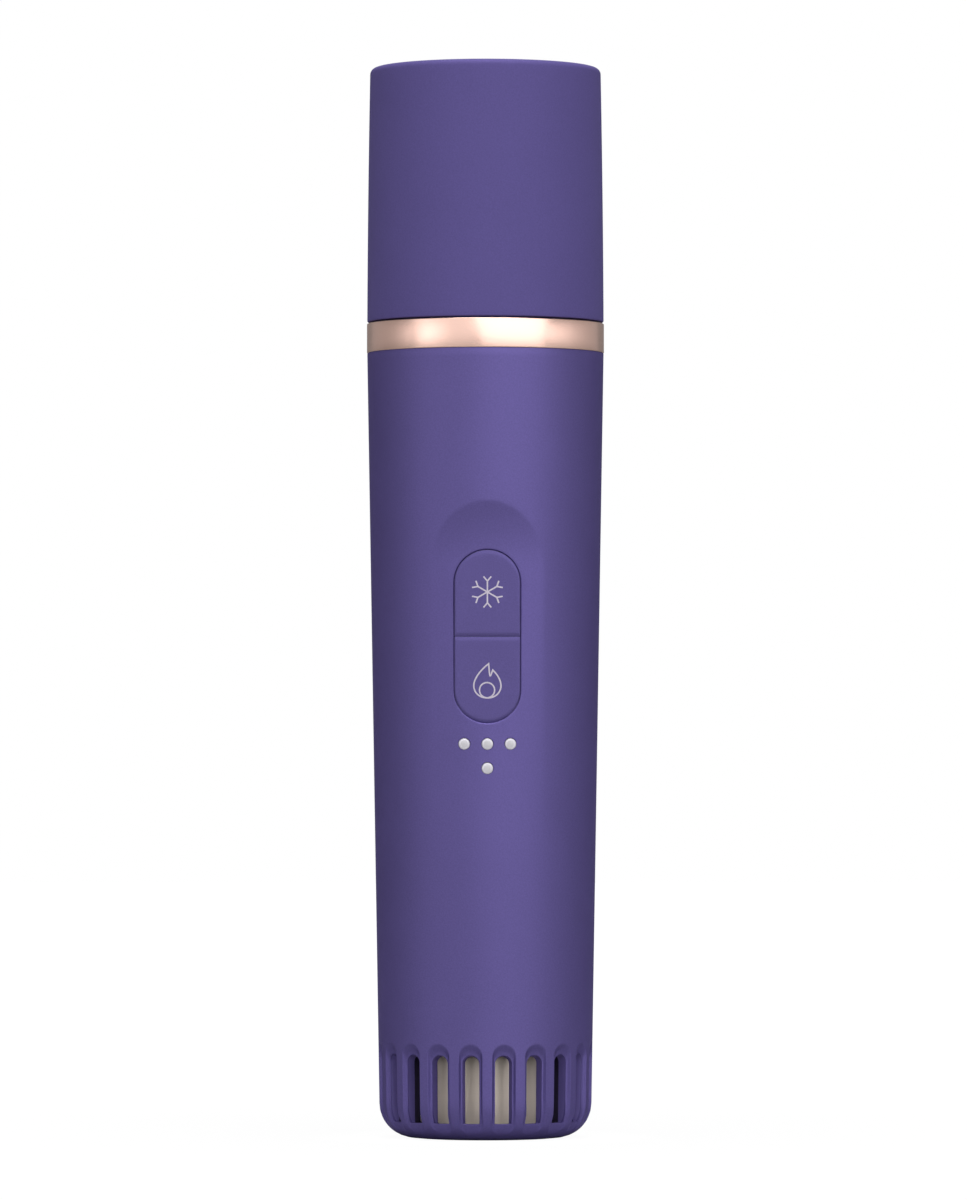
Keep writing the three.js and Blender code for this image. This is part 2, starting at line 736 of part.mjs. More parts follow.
// Metal head: a dome on a rim, a spigot in the neck, two screw bosses and a pocket for the sensor.
function buildHead() {
  const rimTop = headFoot + headRimHeight;
  const domeSteps = 2 * cornerSteps;
  const dome = Array.from({ length: domeSteps + 1 }, (_, i) => {
    const angle = (Math.PI * i) / (2 * domeSteps);
    return [headRimRadius * Math.cos(angle), rimTop + headDomeHeight * Math.sin(angle)];
  });
  dome[domeSteps][0] = 0;
  const body = turned([
    [0, headUnderside],
    [headSpigotRadius, headUnderside],
    [headSpigotRadius, headFoot],
    [headRimRadius, headFoot],
    ...dome,
  ]);
  const bossFoot = sinkTop;
  const bosses = [-headScrewReach, headScrewReach].map((x) =>
    pin(headBossRadius, bossFoot, headUnderside + headRimHeight, x),
  );
  const screwHoles = [-headScrewReach, headScrewReach].map((x) =>
    pin(screwRadius + fitGap, bossFoot - cutOverrun, headUnderside + headScrewBite + fitGap, x),
  );
  const sensorPocket = pin(
    thermistorRadius + fitGap,
    headUnderside - cutOverrun,
    headUnderside + thermistorSink + fitGap,
    sensorOffset,
    wireLine,
  );
  return cut(joined(body, ...bosses), ...screwHoles, sensorPocket);
}
place("head_plate", buildHead(), polishedMetal);

// Thermal stack: pad, Peltier module in its foam, pad, heat sink.
const squareUnder = (side, bottom, top) =>
  block([-side / 2, side / 2], [-side / 2, side / 2], [bottom, top]);
place("cold_pad", squareUnder(peltierSide, peltierTop, headUnderside), greySilicone);
place("peltier_module", squareUnder(peltierSide, peltierFoot, peltierTop), ceramicWhite);
place("hot_pad", squareUnder(peltierSide, sinkTop, peltierFoot), greySilicone);

// The way for the leads at the front of the foam, heat sink and chassis.
const wireWay = (inside, bottom, top) =>
  block([-wireWayHalfWidth, wireWayHalfWidth], [-(handleTopRadius + cutOverrun), -inside], [bottom, top]);

function buildFoam() {
  const windowSide = peltierSide + 2 * fitGap;
  const bossHoles = [-headScrewReach, headScrewReach].map((x) =>
    pin(headBossRadius + fitGap, peltierFoot - cutOverrun, peltierTop + cutOverrun, x),
  );
  return cut(
    disc(sinkRadius, peltierFoot, peltierTop),
    squareUnder(windowSide, peltierFoot - cutOverrun, peltierTop + cutOverrun),
    wireWay(0, peltierFoot - cutOverrun, peltierTop + cutOverrun),
    ...bossHoles,
  );
}
place("peltier_foam", buildFoam(), foamBlack);

function buildHeatSink() {
  const fins = Array.from({ length: sinkFinCount }, (_, i) => {
    const x = (i - (sinkFinCount - 1) / 2) * sinkFinPitch;
    const reach = Math.sqrt(sinkFinRadius ** 2 - (Math.abs(x) + sinkFinThickness / 2) ** 2);
    return block(
      [x - sinkFinThickness / 2, x + sinkFinThickness / 2],
      [-reach, reach],
      [sinkFoot, sinkBaseFoot + sinkBaseThickness / 2],
    );
  });
  const screwHoles = [-headScrewReach, headScrewReach].map((x) =>
    pin(screwRadius + fitGap, sinkBaseFoot - cutOverrun, sinkTop + cutOverrun, x),
  );
  return cut(
    joined(disc(sinkRadius, sinkBaseFoot, sinkTop), ...fins),
    ...screwHoles,
    wireWay(wireWayFront, sinkFoot - cutOverrun, sinkTop + cutOverrun),
  );
}
place("heat_sink", buildHeatSink(), aluminium);

// A pan-head screw, its head under or over the face that it clamps. A head that faces up is turned over.
function screw(radius, headRadius, headHeight, length) {
  const head = [[0, -headHeight], [headRadius, -headHeight], [headRadius, 0]];
  const shank = [[radius, 0], [radius, length], [0, length]];
  return turned([...head, ...shank], pinSides);
}

for (const [side, x] of [["left", -headScrewReach], ["right", headScrewReach]]) {
  const length = headUnderside + headScrewBite - sinkBaseFoot;
  place(
    `head_screw_${side}`,
    screw(screwRadius, screwHeadRadius, screwHeadHeight, length).translate(x, 0, sinkBaseFoot),
    steel,
  );
}

place(
  "thermistor",
  pin(
    thermistorRadius,
    headUnderside + thermistorSink - thermistorLength,
    headUnderside + thermistorSink,
    sensorOffset,
    wireLine,
  ),
  blackPlastic,
);

// Groove for the fan's lead in the rim of the shroud and the chassis.
const fanLeadGroove = (bottom, top) =>
  block(
    [fanLeadSideways - leadRadius - fitGap, fanLeadSideways + leadRadius + fitGap],
    [-(shroudRadius + cutOverrun), -fanLeadLine + leadRadius + fitGap],
    [bottom - cutOverrun, top + cutOverrun],
  );

// Chassis: two end rings, two side rails, walls for the battery and the charging board, and board standoffs.
function standoffTool(radius, near, far, x, z) {
  return fromPanel(
    new THREE.CylinderGeometry(radius, radius, far - near, pinSides).translate(x, (near + far) / 2, z),
  );
}

const insetFromEnd = (z) => z - Math.sign(z) * (standoffInset + standoffRadius);
const boardScrewPlaces = {
  upper: [standoffSideways, insetFromEnd(boardTopRise)],
  lower: [-standoffSideways, insetFromEnd(-boardFootFall)],
};

function buildChassis() {
  const standoffFar = boardFar + smallScrewBite;
  const acrossRails = [-(railNear + railThickness / 2), railNear + railThickness / 2];
  const rails = [-1, 1].map((side) =>
    block(
      side < 0 ? [-railFar, -railNear] : [railNear, railFar],
      [railFront, railRear],
      [chassisFoot + chassisPlate / 2, chassisTop - chassisPlate / 2],
    ),
  );
  const wall = (bottom) => block(acrossRails, [railFront, railRear], [bottom, bottom + chassisPlate]);
  const shelf = block(
    acrossRails,
    [-chargeBoardFront, railRear],
    [chargeBoardFoot - chassisPlate, chargeBoardFoot],
  );
  const standoffs = [-1, 1].flatMap((side) =>
    [boardTopRise, -boardFootFall]
      .map(insetFromEnd)
      .map((z) => standoffTool(standoffRadius, boardFar, standoffFar, side * standoffSideways, z)),
  );
  const boardScrewHoles = Object.values(boardScrewPlaces).map(([x, z]) =>
    standoffTool(smallScrewRadius + fitGap, boardFar - cutOverrun, standoffFar - fitGap, x, z),
  );
  const neckScrewHoles = [-neckBossReach, neckBossReach].map((x) =>
    pin(screwRadius + fitGap, chassisTopFoot - cutOverrun, chassisTop + cutOverrun, x),
  );
  const fanScrewHoles = [-shroudScrewReach, shroudScrewReach].map((x) =>
    pin(smallScrewRadius + fitGap, chassisFoot - cutOverrun, chassisFootTop + cutOverrun, x),
  );
  const topRing = sleeve(chassisTopRadius, chassisTopWindow, chassisTopFoot, chassisTop);
  const footRing = sleeve(shroudRadius, chassisFootWindow, chassisFoot, chassisFootTop);
  return cut(
    joined(topRing, footRing, ...rails, wall(batteryWallFoot), wall(batteryBayTop), shelf, ...standoffs),
    ...boardScrewHoles,
    ...neckScrewHoles,
    ...fanScrewHoles,
    wireWay(wireWayFront, chassisTopFoot - cutOverrun, chassisTop + cutOverrun),
    fanLeadGroove(chassisFoot, chassisFootTop),
  );
}

place("chassis", buildChassis(), blackPlastic);

for (const [side, x] of [["left", -neckBossReach], ["right", neckBossReach]]) {
  place(
    `chassis_screw_${side}`,
    screw(screwRadius, screwHeadRadius, screwHeadHeight, chassisPlate + chassisScrewBite).translate(
      x,
      0,
      chassisTopFoot,
    ),
    steel,
  );
}

// Battery with a welded tab on each end; the tabs reach forward past the board's ends.
place(
  "battery_cell",
  disc(batteryRadius, batteryFoot, batteryTop, innerSides).translate(0, batteryAxis, 0),
  batterySleeve,
);
const tabDepth = [batteryAxis - tabReach, batteryAxis];
const tabAt = (bottom) => block([-tabHalfWidth, tabHalfWidth], tabDepth, [bottom, bottom + tabThickness]);
place("battery_tab_top", tabAt(batteryTop), nickel);
place("battery_tab_bottom", tabAt(batteryFoot - tabThickness), nickel);

// Main board and its parts, in the panel's frame.
function buildBoard() {
  const boardShape = new THREE.Shape([
    new THREE.Vector2(-boardHalfWidth, -boardFootFall),
    new THREE.Vector2(boardHalfWidth, -boardFootFall),
    new THREE.Vector2(boardHalfWidth, boardTopRise),
    new THREE.Vector2(-boardHalfWidth, boardTopRise),
  ]);
  const holes = Object.values(boardScrewPlaces).map(([x, z]) =>
    new THREE.CylinderGeometry(
      smallScrewRadius + fitGap,
      smallScrewRadius + fitGap,
      boardThickness + 2 * cutOverrun,
      pinSides,
    ).translate(x, (boardNear + boardFar) / 2, z),
  );
  return cut(plate(boardShape, boardNear, boardFar), ...holes);
}
place("main_board", buildBoard(), boardGreen, panelFrame);

for (const [end, [x, z]] of Object.entries(boardScrewPlaces)) {
  const length = boardThickness + smallScrewBite - 2 * fitGap;
  place(
    `board_screw_${end}`,
    screw(smallScrewRadius, smallScrewHeadRadius, smallScrewHeadHeight, length)
      .rotateX(-Math.PI / 2)
      .translate(x, boardNear, z),
    steel,
    panelFrame,
  );
}

const onBoard = (halfWidth, halfHeight, thickness, x, z) =>
  block([x - halfWidth, x + halfWidth], [boardNear - thickness, boardNear], [z - halfHeight, z + halfHeight]);
const connectorMiddle = connectorHeight / 2;
place(
  "upper_connector",
  onBoard(connectorHalfWidth, connectorMiddle, connectorThickness, 0, boardTopRise - connectorMiddle),
  whitePlastic,
  panelFrame,
);
place(
  "lower_connector",
  onBoard(connectorHalfWidth, connectorMiddle, connectorThickness, 0, -boardFootFall + connectorMiddle),
  whitePlastic,
  panelFrame,
);
const chipPlace = -lampRowFall - lampLowFall - chipDrop;
place(
  "controller_chip",
  onBoard(chipSide / 2, chipSide / 2, chipThickness, -chipSide, chipPlace),
  blackPlastic,
  panelFrame,
);
place(
  "power_inductor",
  disc(inductorRadius, -inductorThickness, 0, pinSides)
    .rotateX(-Math.PI / 2)
    .translate(inductorSideways, boardNear, 0),
  blackPlastic,
  panelFrame,
);

// Each button: a rounded key, a flange behind the wall, and a post on the switch's stem.
function buildButton() {
  const halfWidth = pillHalfWidth - fitGap;
  const halfHeight = pillHalfHeight - fitGap;
  const splitHalf = fitGap / 2;
  const key = new THREE.ExtrudeGeometry(upperHalfPill(halfWidth, halfHeight, splitHalf), {
    depth: flangeNear + buttonFlangeThickness / 2 + buttonFront - 2 * buttonEdge,
    bevelEnabled: true,
    bevelThickness: buttonEdge,
    bevelSize: buttonEdge,
    bevelOffset: -buttonEdge,
    bevelSegments: 2,
    curveSegments: pillSteps,
  })
    .rotateX(Math.PI / 2)
    .translate(0, flangeNear + buttonFlangeThickness / 2 - buttonEdge, 0);
  const flange = plate(
    upperHalfPill(halfWidth + buttonFlangeReach, halfHeight + buttonFlangeReach, splitHalf),
    flangeNear,
    flangeFar,
  );
  const post = new THREE.CylinderGeometry(
    buttonPostRadius,
    buttonPostRadius,
    stemNear - flangeNear,
    pinSides,
  ).translate(0, (flangeNear + stemNear) / 2, buttonMiddle);
  return joined(key, flange, post);
}

function buildSwitch() {
  const body = onBoard(switchSide / 2, switchSide / 2, switchHeight, 0, 0);
  const stemHoleDepth = stemSink + buttonTravel + fitGap;
  const stemHole = new THREE.CylinderGeometry(
    stemRadius + fitGap,
    stemRadius + fitGap,
    stemHoleDepth + cutOverrun,
    pinSides,
  ).translate(0, switchNear + (stemHoleDepth - cutOverrun) / 2, 0);
  return cut(body, stemHole);
}

function buildStem() {
  const length = stemRise + stemSink;
  return new THREE.CylinderGeometry(stemRadius, stemRadius, length, pinSides).translate(
    0,
    stemNear + length / 2,
    0,
  );
}

place("button_cold", buildButton(), softTouch, panelFrame);
place("button_heat", buildButton().rotateY(Math.PI), softTouch, panelFrame);
for (const [name, z] of [["cold", buttonMiddle], ["heat", -buttonMiddle]]) {
  place(`switch_${name}`, buildSwitch().translate(0, 0, z), blackPlastic, panelFrame);
  place(`switch_stem_${name}`, buildStem().translate(0, 0, z), whitePlastic, panelFrame);
}

// Light guide: four pins on one web, and a lamp chip behind each pin.
function buildLightGuide() {
  const webReach = lampPitch + lampPinRadius + lampWebMargin;
  const webTop = -lampRowFall + lampPinRadius + lampWebMargin;
  const webFoot = -lampRowFall - lampLowFall - lampPinRadius - lampWebMargin;
  const webFar = flangeNear + lampWebThickness;
  const web = block([-webReach, webReach], [flangeNear, webFar], [webFoot, webTop]);
  const pins = lampPlaces.map(([x, z]) => {
    const front = scoopRise(x, z) + lampPinProud;
    const length = front + webFar + lampPinTail;
    return new THREE.CylinderGeometry(lampPinRadius, lampPinRadius, length, pinSides).translate(
      x,
      length / 2 - front,
      z,
    );
  });
  return joined(web, ...pins);
}
place("light_guide", buildLightGuide(), milkyPlastic, panelFrame);

["left", "middle", "right", "low"].forEach((name, i) => {
  const [x, z] = lampPlaces[i];
  place(
    `lamp_${name}`,
    onBoard(lampChipHalfWidth, lampChipHalfHeight, lampChipThickness, x, z),
    ceramicWhite,
    panelFrame,
  );
});

// Charging socket: a drawn metal mouth with a contact tongue, on its board.
function buildPort() {
  const portFoot = portMouth - portLength;
  const body = plate(lyingPill(portHalfWidth, portHalfHeight), portFoot, portMouth);
  const mouth = plate(
    lyingPill(portHalfWidth - portWall, portHalfHeight - portWall),
    portMouth - portDepth,
    portMouth + cutOverrun,
  );
  const tongue = block(
    [-portTongueHalfWidth, portTongueHalfWidth],
    [portMouth - portDepth - portWall, portMouth - portWall],
    [-portTongueThickness / 2, portTongueThickness / 2],
  );
  return joined(cut(body, mouth), tongue).translate(0, 0, portHeight);
}
place("usb_port", buildPort(), nickel);
place(
  "charge_board",
  block(
    [-chargeBoardHalfWidth, chargeBoardHalfWidth],
    [-chargeBoardFront, chargeBoardRear],
    [chargeBoardFoot, chargeBoardTop],
  ),
  boardGreen,
);

// Motor on its damping pad: a can with its windings, and the magnet and shaft that turn in it.
place("motor_pad", disc(motorRadius - motorWall, floorThickness, motorFoot, innerSides), foamBlack);
const statorFoot = motorFoot + motorWall + fitGap;
const statorTop = statorFoot + statorHeight;
place(
  "motor_can",
  turned([
    [0, motorFoot],
    [motorRadius, motorFoot],
    [motorRadius, motorTop],
    [motorRadius - motorWall, motorTop],
    [motorRadius - motorWall, motorFoot + motorWall],
    [0, motorFoot + motorWall],
  ]),
  champagneMetal,
);
place(
  "motor_stator",
  sleeve(motorRadius - motorWall - fitGap, magnetRadius + magnetGap, statorFoot, statorTop, innerSides),
  copper,
);
place(
  "rotor_magnet",
  sleeve(magnetRadius, shaftRadius + runningGap, statorFoot, statorTop, innerSides),
  steel,
);
place("motor_shaft", pin(shaftRadius, statorFoot, impellerTop - impellerHubWall / 2), steel);

// Bearing and shroud. The shroud's plate closes the motor can, and its arms reach out to the duct ring.
const bearingTop = shroudFoot + shroudPlate + fitGap;
place(
  "fan_bearing",
  sleeve(bearingRadius, shaftRadius + runningGap, bearingTop - bearingLength, bearingTop, pinSides),
  brass,
);

function buildShroud() {
  const plateTop = shroudFoot + shroudPlate;
  const plateRadius = motorRadius - fitGap;
  const ductRing = sleeve(shroudRadius, shroudBore, shroudFoot, shroudTop);
  const motorPlate = disc(plateRadius, shroudFoot, plateTop);
  const arms = Array.from({ length: shroudArmCount }, (_, i) =>
    block(
      [-shroudArmWidth / 2, shroudArmWidth / 2],
      [plateRadius - cutOverrun, (shroudBore + shroudRadius) / 2],
      [shroudFoot, plateTop],
    ).rotateZ((2 * Math.PI * i) / shroudArmCount),
  );
  const bearingSeat = pin(bearingRadius + fitGap, shroudFoot - cutOverrun, plateTop + cutOverrun);
  const screwHoles = [-shroudScrewReach, shroudScrewReach].map((x) =>
    pin(smallScrewRadius + fitGap / 2, shroudTop - smallScrewBite - fitGap, shroudTop + cutOverrun, x),
  );
  return cut(
    joined(ductRing, motorPlate, ...arms),
    bearingSeat,
    ...screwHoles,
    fanLeadGroove(shroudFoot, shroudTop),
  );
}
place("fan_shroud", buildShroud(), blackPlastic);

for (const [side, x] of [["left", -shroudScrewReach], ["right", shroudScrewReach]]) {
  place(
    `fan_screw_${side}`,
    screw(smallScrewRadius, smallScrewHeadRadius, smallScrewHeadHeight, chassisPlate + smallScrewBite)
      .rotateX(Math.PI)
      .translate(x, 0, chassisFootTop),
    steel,
  );
}

// Impeller: a cupped hub with pitched blades trimmed to the duct.
function buildImpeller() {
  const roof = impellerTop - impellerHubWall;
  const hubOutline = [
    [shaftRadius + runningGap, impellerFoot],
    [impellerBossRadius, impellerFoot],
    [impellerBossRadius, roof],
    [impellerHubRadius - impellerHubWall, roof],
    [impellerHubRadius - impellerHubWall, impellerFoot],
    [impellerHubRadius, impellerFoot],
    [impellerHubRadius, impellerTop],
    [shaftRadius + runningGap, impellerTop],
    [shaftRadius + runningGap, impellerFoot],
  ];
  const bladeRoot = impellerHubRadius - impellerHubWall / 2;
  const blades = Array.from({ length: bladeCount }, (_, i) =>
    block(
      [bladeRoot, impellerRadius + cutOverrun],
      [-bladeThickness / 2, bladeThickness / 2],
      [-impellerHeight, impellerHeight],
    )
      .rotateX(THREE.MathUtils.degToRad(bladePitchDegrees))
      .translate(0, 0, (impellerFoot + impellerTop) / 2)
      .rotateZ((2 * Math.PI * i) / bladeCount),
  );
  const swept = sleeve(impellerRadius, bladeRoot, impellerFoot, impellerTop, innerSides);
  return joined(turned(hubOutline, innerSides), common(joined(...blades), swept));
}
place("impeller", buildImpeller(), blackPlastic);

// Leads: a wire pair as one round tube along a smooth line through the points given.
function lead(points) {
  const line = new THREE.CatmullRomCurve3(points.map(([x, y, z]) => new THREE.Vector3(x, y, z)));
  const section = new THREE.Shape(
    Array.from({ length: leadSides }, (_, i) => {
      const angle = (2 * Math.PI * i) / leadSides;
      return new THREE.Vector2(leadRadius * Math.cos(angle), leadRadius * Math.sin(angle));
    }),
  );
  const steps = Math.ceil(line.getLength() / leadStep);
  return new THREE.ExtrudeGeometry(section, { steps, extrudePath: line, bevelEnabled: false });
}

// A point of the panel's frame in the wand's frame, for the ends of leads at the board's connectors.
function atPanel(x, depth, z) {
  const point = new THREE.Vector3(x, depth, z).applyMatrix4(panelFrame.matrix);
  return [point.x, point.y, point.z];
}
const connectorDepth = boardNear - connectorThickness / 2;
const aboveBoard = boardTopRise + fitGap;
const belowBoard = -boardFootFall - fitGap;

const peltierFront = -(peltierSide / 2 + fitGap);
const peltierMiddle = (peltierFoot + peltierTop) / 2;
const plugIn = (x, end, away) => [
  atPanel(x, connectorDepth, end + away * leadBend),
  atPanel(x, connectorDepth, end),
];
const upperPlug = (x) => plugIn(x, aboveBoard, 1);
const lowerPlug = (x) => plugIn(x, belowBoard, -1);

place(
  "peltier_lead",
  lead([
    [-sensorOffset, peltierFront, peltierMiddle],
    [-sensorOffset, wireLine, peltierFoot],
    [-sensorOffset, wireLine, sinkBaseFoot],
    [-sensorOffset, wireLine, sinkFoot],
    [-sensorOffset, wireLine, chassisTopFoot - leadBend],
    ...upperPlug(-sensorOffset),
  ]),
  redWire,
);
place(
  "thermistor_lead",
  lead([
    [sensorOffset, wireLine, headUnderside + thermistorSink - thermistorLength - fitGap],
    [sensorOffset, wireLine, sinkTop - leadBend],
    [sensorOffset, wireLine, sinkFoot],
    [sensorOffset, wireLine, chassisTopFoot - leadBend],
    ...upperPlug(sensorOffset),
  ]),
  blackWire,
);

const tabFront = batteryAxis - tabReach - fitGap - leadRadius;
place(
  "battery_lead_upper",
  lead([
    [0, tabFront, batteryTop + tabThickness / 2],
    [0, tabFront - leadRadius, batteryTop - leadBend],
    ...upperPlug(0),
  ]),
  redWire,
);
place(
  "battery_lead_lower",
  lead([
    [batteryLeadSideways, tabFront, batteryFoot - tabThickness],
    [batteryLeadSideways, tabFront - leadRadius, batteryFoot + leadRadius],
    ...lowerPlug(batteryLeadSideways),
  ]),
  blackWire,
);

const motorSide = -Math.sqrt(motorRadius ** 2 - (fanLeadSideways - leadRadius) ** 2) - fitGap;
place(
  "fan_lead",
  lead([
    [fanLeadSideways, motorSide, shroudFoot - leadBend],
    [fanLeadSideways, -fanLeadLine, shroudFoot - leadRadius],
    [fanLeadSideways, -fanLeadLine, shroudFoot + leadBend],
    [fanLeadSideways, -fanLeadLine, chassisFootTop],
    ...lowerPlug(fanLeadSideways),
  ]),
  blackWire,
);
place(
  "charge_lead",
  lead([
    [-chargeLeadSideways, -chargeBoardFront - fitGap, chargeBoardMiddle],
    [-chargeLeadSideways, -chargeBoardFront - leadBend, chargeBoardMiddle],
    [-chargeLeadSideways, railFront - leadBend, chargeBoardTop + leadBend],
    ...lowerPlug(-chargeLeadSideways),
  ]),
  redWire,
);

export default wand;
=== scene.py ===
import json
import math

import bpy
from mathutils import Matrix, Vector
from mathutils.geometry import delaunay_2d_cdt
from mathutils.kdtree import KDTree


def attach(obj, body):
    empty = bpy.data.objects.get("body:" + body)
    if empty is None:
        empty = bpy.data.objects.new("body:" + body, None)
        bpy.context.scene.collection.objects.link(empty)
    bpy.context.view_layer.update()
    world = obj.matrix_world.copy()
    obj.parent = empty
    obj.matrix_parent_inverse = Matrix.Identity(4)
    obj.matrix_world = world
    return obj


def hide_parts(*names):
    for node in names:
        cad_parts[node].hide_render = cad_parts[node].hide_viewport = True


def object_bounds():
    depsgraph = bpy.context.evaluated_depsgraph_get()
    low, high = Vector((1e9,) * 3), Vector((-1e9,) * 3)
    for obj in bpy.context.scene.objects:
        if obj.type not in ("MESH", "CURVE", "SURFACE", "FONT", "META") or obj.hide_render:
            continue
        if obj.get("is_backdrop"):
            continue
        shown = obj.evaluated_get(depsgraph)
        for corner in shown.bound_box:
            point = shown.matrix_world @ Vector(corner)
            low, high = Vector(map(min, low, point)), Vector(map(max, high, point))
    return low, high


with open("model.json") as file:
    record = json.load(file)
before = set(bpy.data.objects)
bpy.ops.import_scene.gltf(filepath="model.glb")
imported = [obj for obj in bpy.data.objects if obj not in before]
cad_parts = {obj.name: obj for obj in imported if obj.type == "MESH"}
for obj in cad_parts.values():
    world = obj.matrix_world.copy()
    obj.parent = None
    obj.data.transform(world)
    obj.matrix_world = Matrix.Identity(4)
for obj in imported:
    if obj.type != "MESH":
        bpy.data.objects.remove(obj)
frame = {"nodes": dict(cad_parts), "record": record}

cad_low, cad_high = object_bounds()
scene = bpy.context.scene
MM = 0.001


# Camera. It stands 1.2 m away at a third of the wand's height, one degree to its left, and tilts up a little,
# as the ellipses of the rims and the silhouette in the photograph give it.
photo_height, focal_pixels = 1200, 7588
camera_distance, camera_height = 1216 * MM, 60.3 * MM
camera_turn = math.radians(-1.0)
wand_off_centre, horizon_below_centre = 1.95, 160

camera = bpy.data.objects.new("camera", bpy.data.cameras.new("camera"))
scene.collection.objects.link(camera)
scene.camera = camera
camera.data.sensor_width = 36
camera.data.lens = camera.data.sensor_width * focal_pixels / photo_height
camera.data.clip_start, camera.data.clip_end = 0.05, 20
camera.location = (
    camera_distance * math.sin(camera_turn),
    -camera_distance * math.cos(camera_turn),
    camera_height,
)
camera.rotation_euler = (
    math.pi / 2 + math.atan(horizon_below_centre / focal_pixels),
    0,
    camera_turn + math.atan(wand_off_centre / focal_pixels),
)


# Handle shell: one injection moulding in violet plastic with a satin soft-touch coat, open at the top.
# Its front is scooped a little for the keys and the lamps, and twenty vents run round the foot.
handle_height, handle_top_radius, handle_foot_radius = 125.5, 18.95, 16.88
handle_wall, foot_corner = 2.0, 5.5
floor_height, floor_chamfer, bore_foot = 2.4, 0.6, 4.0
rim_rounding, rim_ease = 0.12, 0.036
base_recess, base_recess_edge = 0.25, 1.4
base_ring, floor_ring = 0.4, 0.6  # radii of the rings halfway to the middle, as shares
pill_height, pill_half_width, pill_half_height = 79.82, 5.24, 13.74
panel_half_width, panel_wall, panel_blend = 8.88, 1.6, 0.25
panel_tilt = 0.0189196  # radians that the panel leans back with the handle's taper
arch_foot, arch_length = 91.3, 10.0
flat_foot, flat_gone, flat_over_arch = 49.9, 24.0, 2.0
scoop_depth, scoop_foot, scoop_fade, scoop_easing, scoop_edge = 1.1, 44.0, 1.3, 0.15, 0.06
vent_count, vent_turn = 20, -261  # degrees that the first vent is turned from the front
vent_half_width, vent_foot, vent_top = 1.9, 0.9, 15.4
vent_depth, vent_foot_depth, vent_fade_foot, vent_fade_top = 0.58, 0.28, 1.2, 7.0
slot_half_width, slot_foot, slot_top = 1.34, 2.76, 13.6
slot_rounding, slot_draft, slot_corner, slot_squareness = 0.1, 0.22, 0.2, 0.4
hollow_shares = (0, 0.08, 0.18, 0.32, 0.48, 0.66, 0.84, 1.0)  # of the way from a hollow's edge to its slot
hollow_curve, hollow_curve_rise = 0.65, 0.1
opening_rounding, lamp_hole_rounding, lip_drop = 0.22, 0.05, 0.13
rib_near, rib_far, rib_half_width, rib_top = 10.42, 15.2, 0.6, 16.9
rib_edge = [(0.2, 0), (0.06, 0.06), (0, 0.2)]  # how far its near edge is inset, and how deep there
sunk_foot = 0.2  # that a rib's foot reaches into the floor
lamp_places = [(-3.64, -16.98), (0, -16.98), (3.64, -16.98), (0, -20.82)]
lamp_hole_radius = 0.95
port_height, port_half_width, port_half_height = 35.0, 4.77, 1.93
lip_margin, lip_steps = 0.15, 4  # a rounded lip has that much even surface round it
front_share = 0.5  # a point is on the front where it lies at least that share of its radius forward
shell_columns, corner_steps, wall_steps, bore_steps = 144, 8, 96, 40
pill_side_steps, pill_end_steps = 20, 28
turn_length = 17.0  # millimetres that a radian stands for on a skin laid out flat
detail_clearance, grid_clearance = 0.2, 0.42
speckle_size, cloud_size = 0.22, 9.0
violet, pearl_edge = (0.116, 0.093, 0.273), (0.42, 0.38, 0.55)
# painted shade for the bore, and painted light for the slots' cut walls
bore_painted_shade, slot_wall_painted_light = (0.03, 0.025, 0.06), (0.19, 0.155, 0.41)
hollow_reach, bore_shade_depth = 0.76, 1.97  # depths where the slots' cut walls are painted lighter, and where the bore is painted in shade
slot_sill, floor_margin = 0.02, 0.1  # how far these zones begin above the slots' foot and under the floor


class Finish:
    """A material: a Principled shader, set by the names of its sockets, and the nodes that feed it."""

    def __init__(self, name, **sockets):
        self.material = bpy.data.materials.new(name)
        self.material.use_nodes = True
        self.tree = self.material.node_tree
        self.shader = self.tree.nodes["Principled BSDF"]
        self.feed(self.shader, sockets)

    def feed(self, node, sockets):
        """Sets or links a node's sockets, by their names or numbers."""
        for name, value in sockets.items():
            socket = node.inputs[name.replace("_", " ") if isinstance(name, str) else name]
            if isinstance(value, Wire):
                self.tree.links.new(value.socket, socket)
            elif socket.type == "RGBA":
                socket.default_value = (*value, 1)
            elif socket.type == "VECTOR" and not isinstance(value, tuple):
                socket.default_value = (value, value, value)
            else:
                socket.default_value = value

    def node(self, kind, settings, sockets, out=0):
        """A new node with its settings and sockets, as the wire of one of its outputs."""
        made = self.tree.nodes.new("ShaderNode" + kind)
        for name, value in settings.items():
            if name == "stops":
                set_stops(made.color_ramp, value)
            else:
                setattr(made, name, value)
        self.feed(made, sockets)
        return Wire(self, made.outputs[out])

    def place(self):
        """The point on the surface in the wand's own frame, in millimetres."""
        return self.node("TexCoord", {}, {}, out=3) * (1 / MM)

    def noise(self, where, size, detail=2.0, roughness=0.5):
        """Cloudy noise from 0 to 1 whose lumps are of that size in millimetres."""
        sockets = {"Vector": where, "Scale": 1 / size, "Detail": detail, "Roughness": roughness}
        return self.node("TexNoise", {}, sockets)

    def blend(self, share, first, second):
        """One colour going over into another as share goes from 0 to 1."""
        return self.node("Mix", {"data_type": "RGBA"}, {0: share, 6: first, 7: second}, out=2)

    def ramp(self, value, *stops):
        """A value looked up along stops of (place, colour)."""
        return self.node("ValToRGB", {"stops": stops}, {"Fac": value})

    def mottled(self, value, colour, least, most=1.0):
        """The colour, from its least share where the value is low up to its most where it is high."""
        low, high = (tuple(share * c for c in colour) for share in (least, most))
        return self.ramp(value, (0.3, low), (0.7, high))

    def relief(self, height, depth, strength=1.0):
        """The Normal socket shaped by a height from 0 to 1 that stands for that depth in millimetres."""
        sockets = {"Height": height, "Distance": depth * MM, "Strength": strength}
        self.feed(self.shader, {"Normal": self.node("Bump", {}, sockets)})


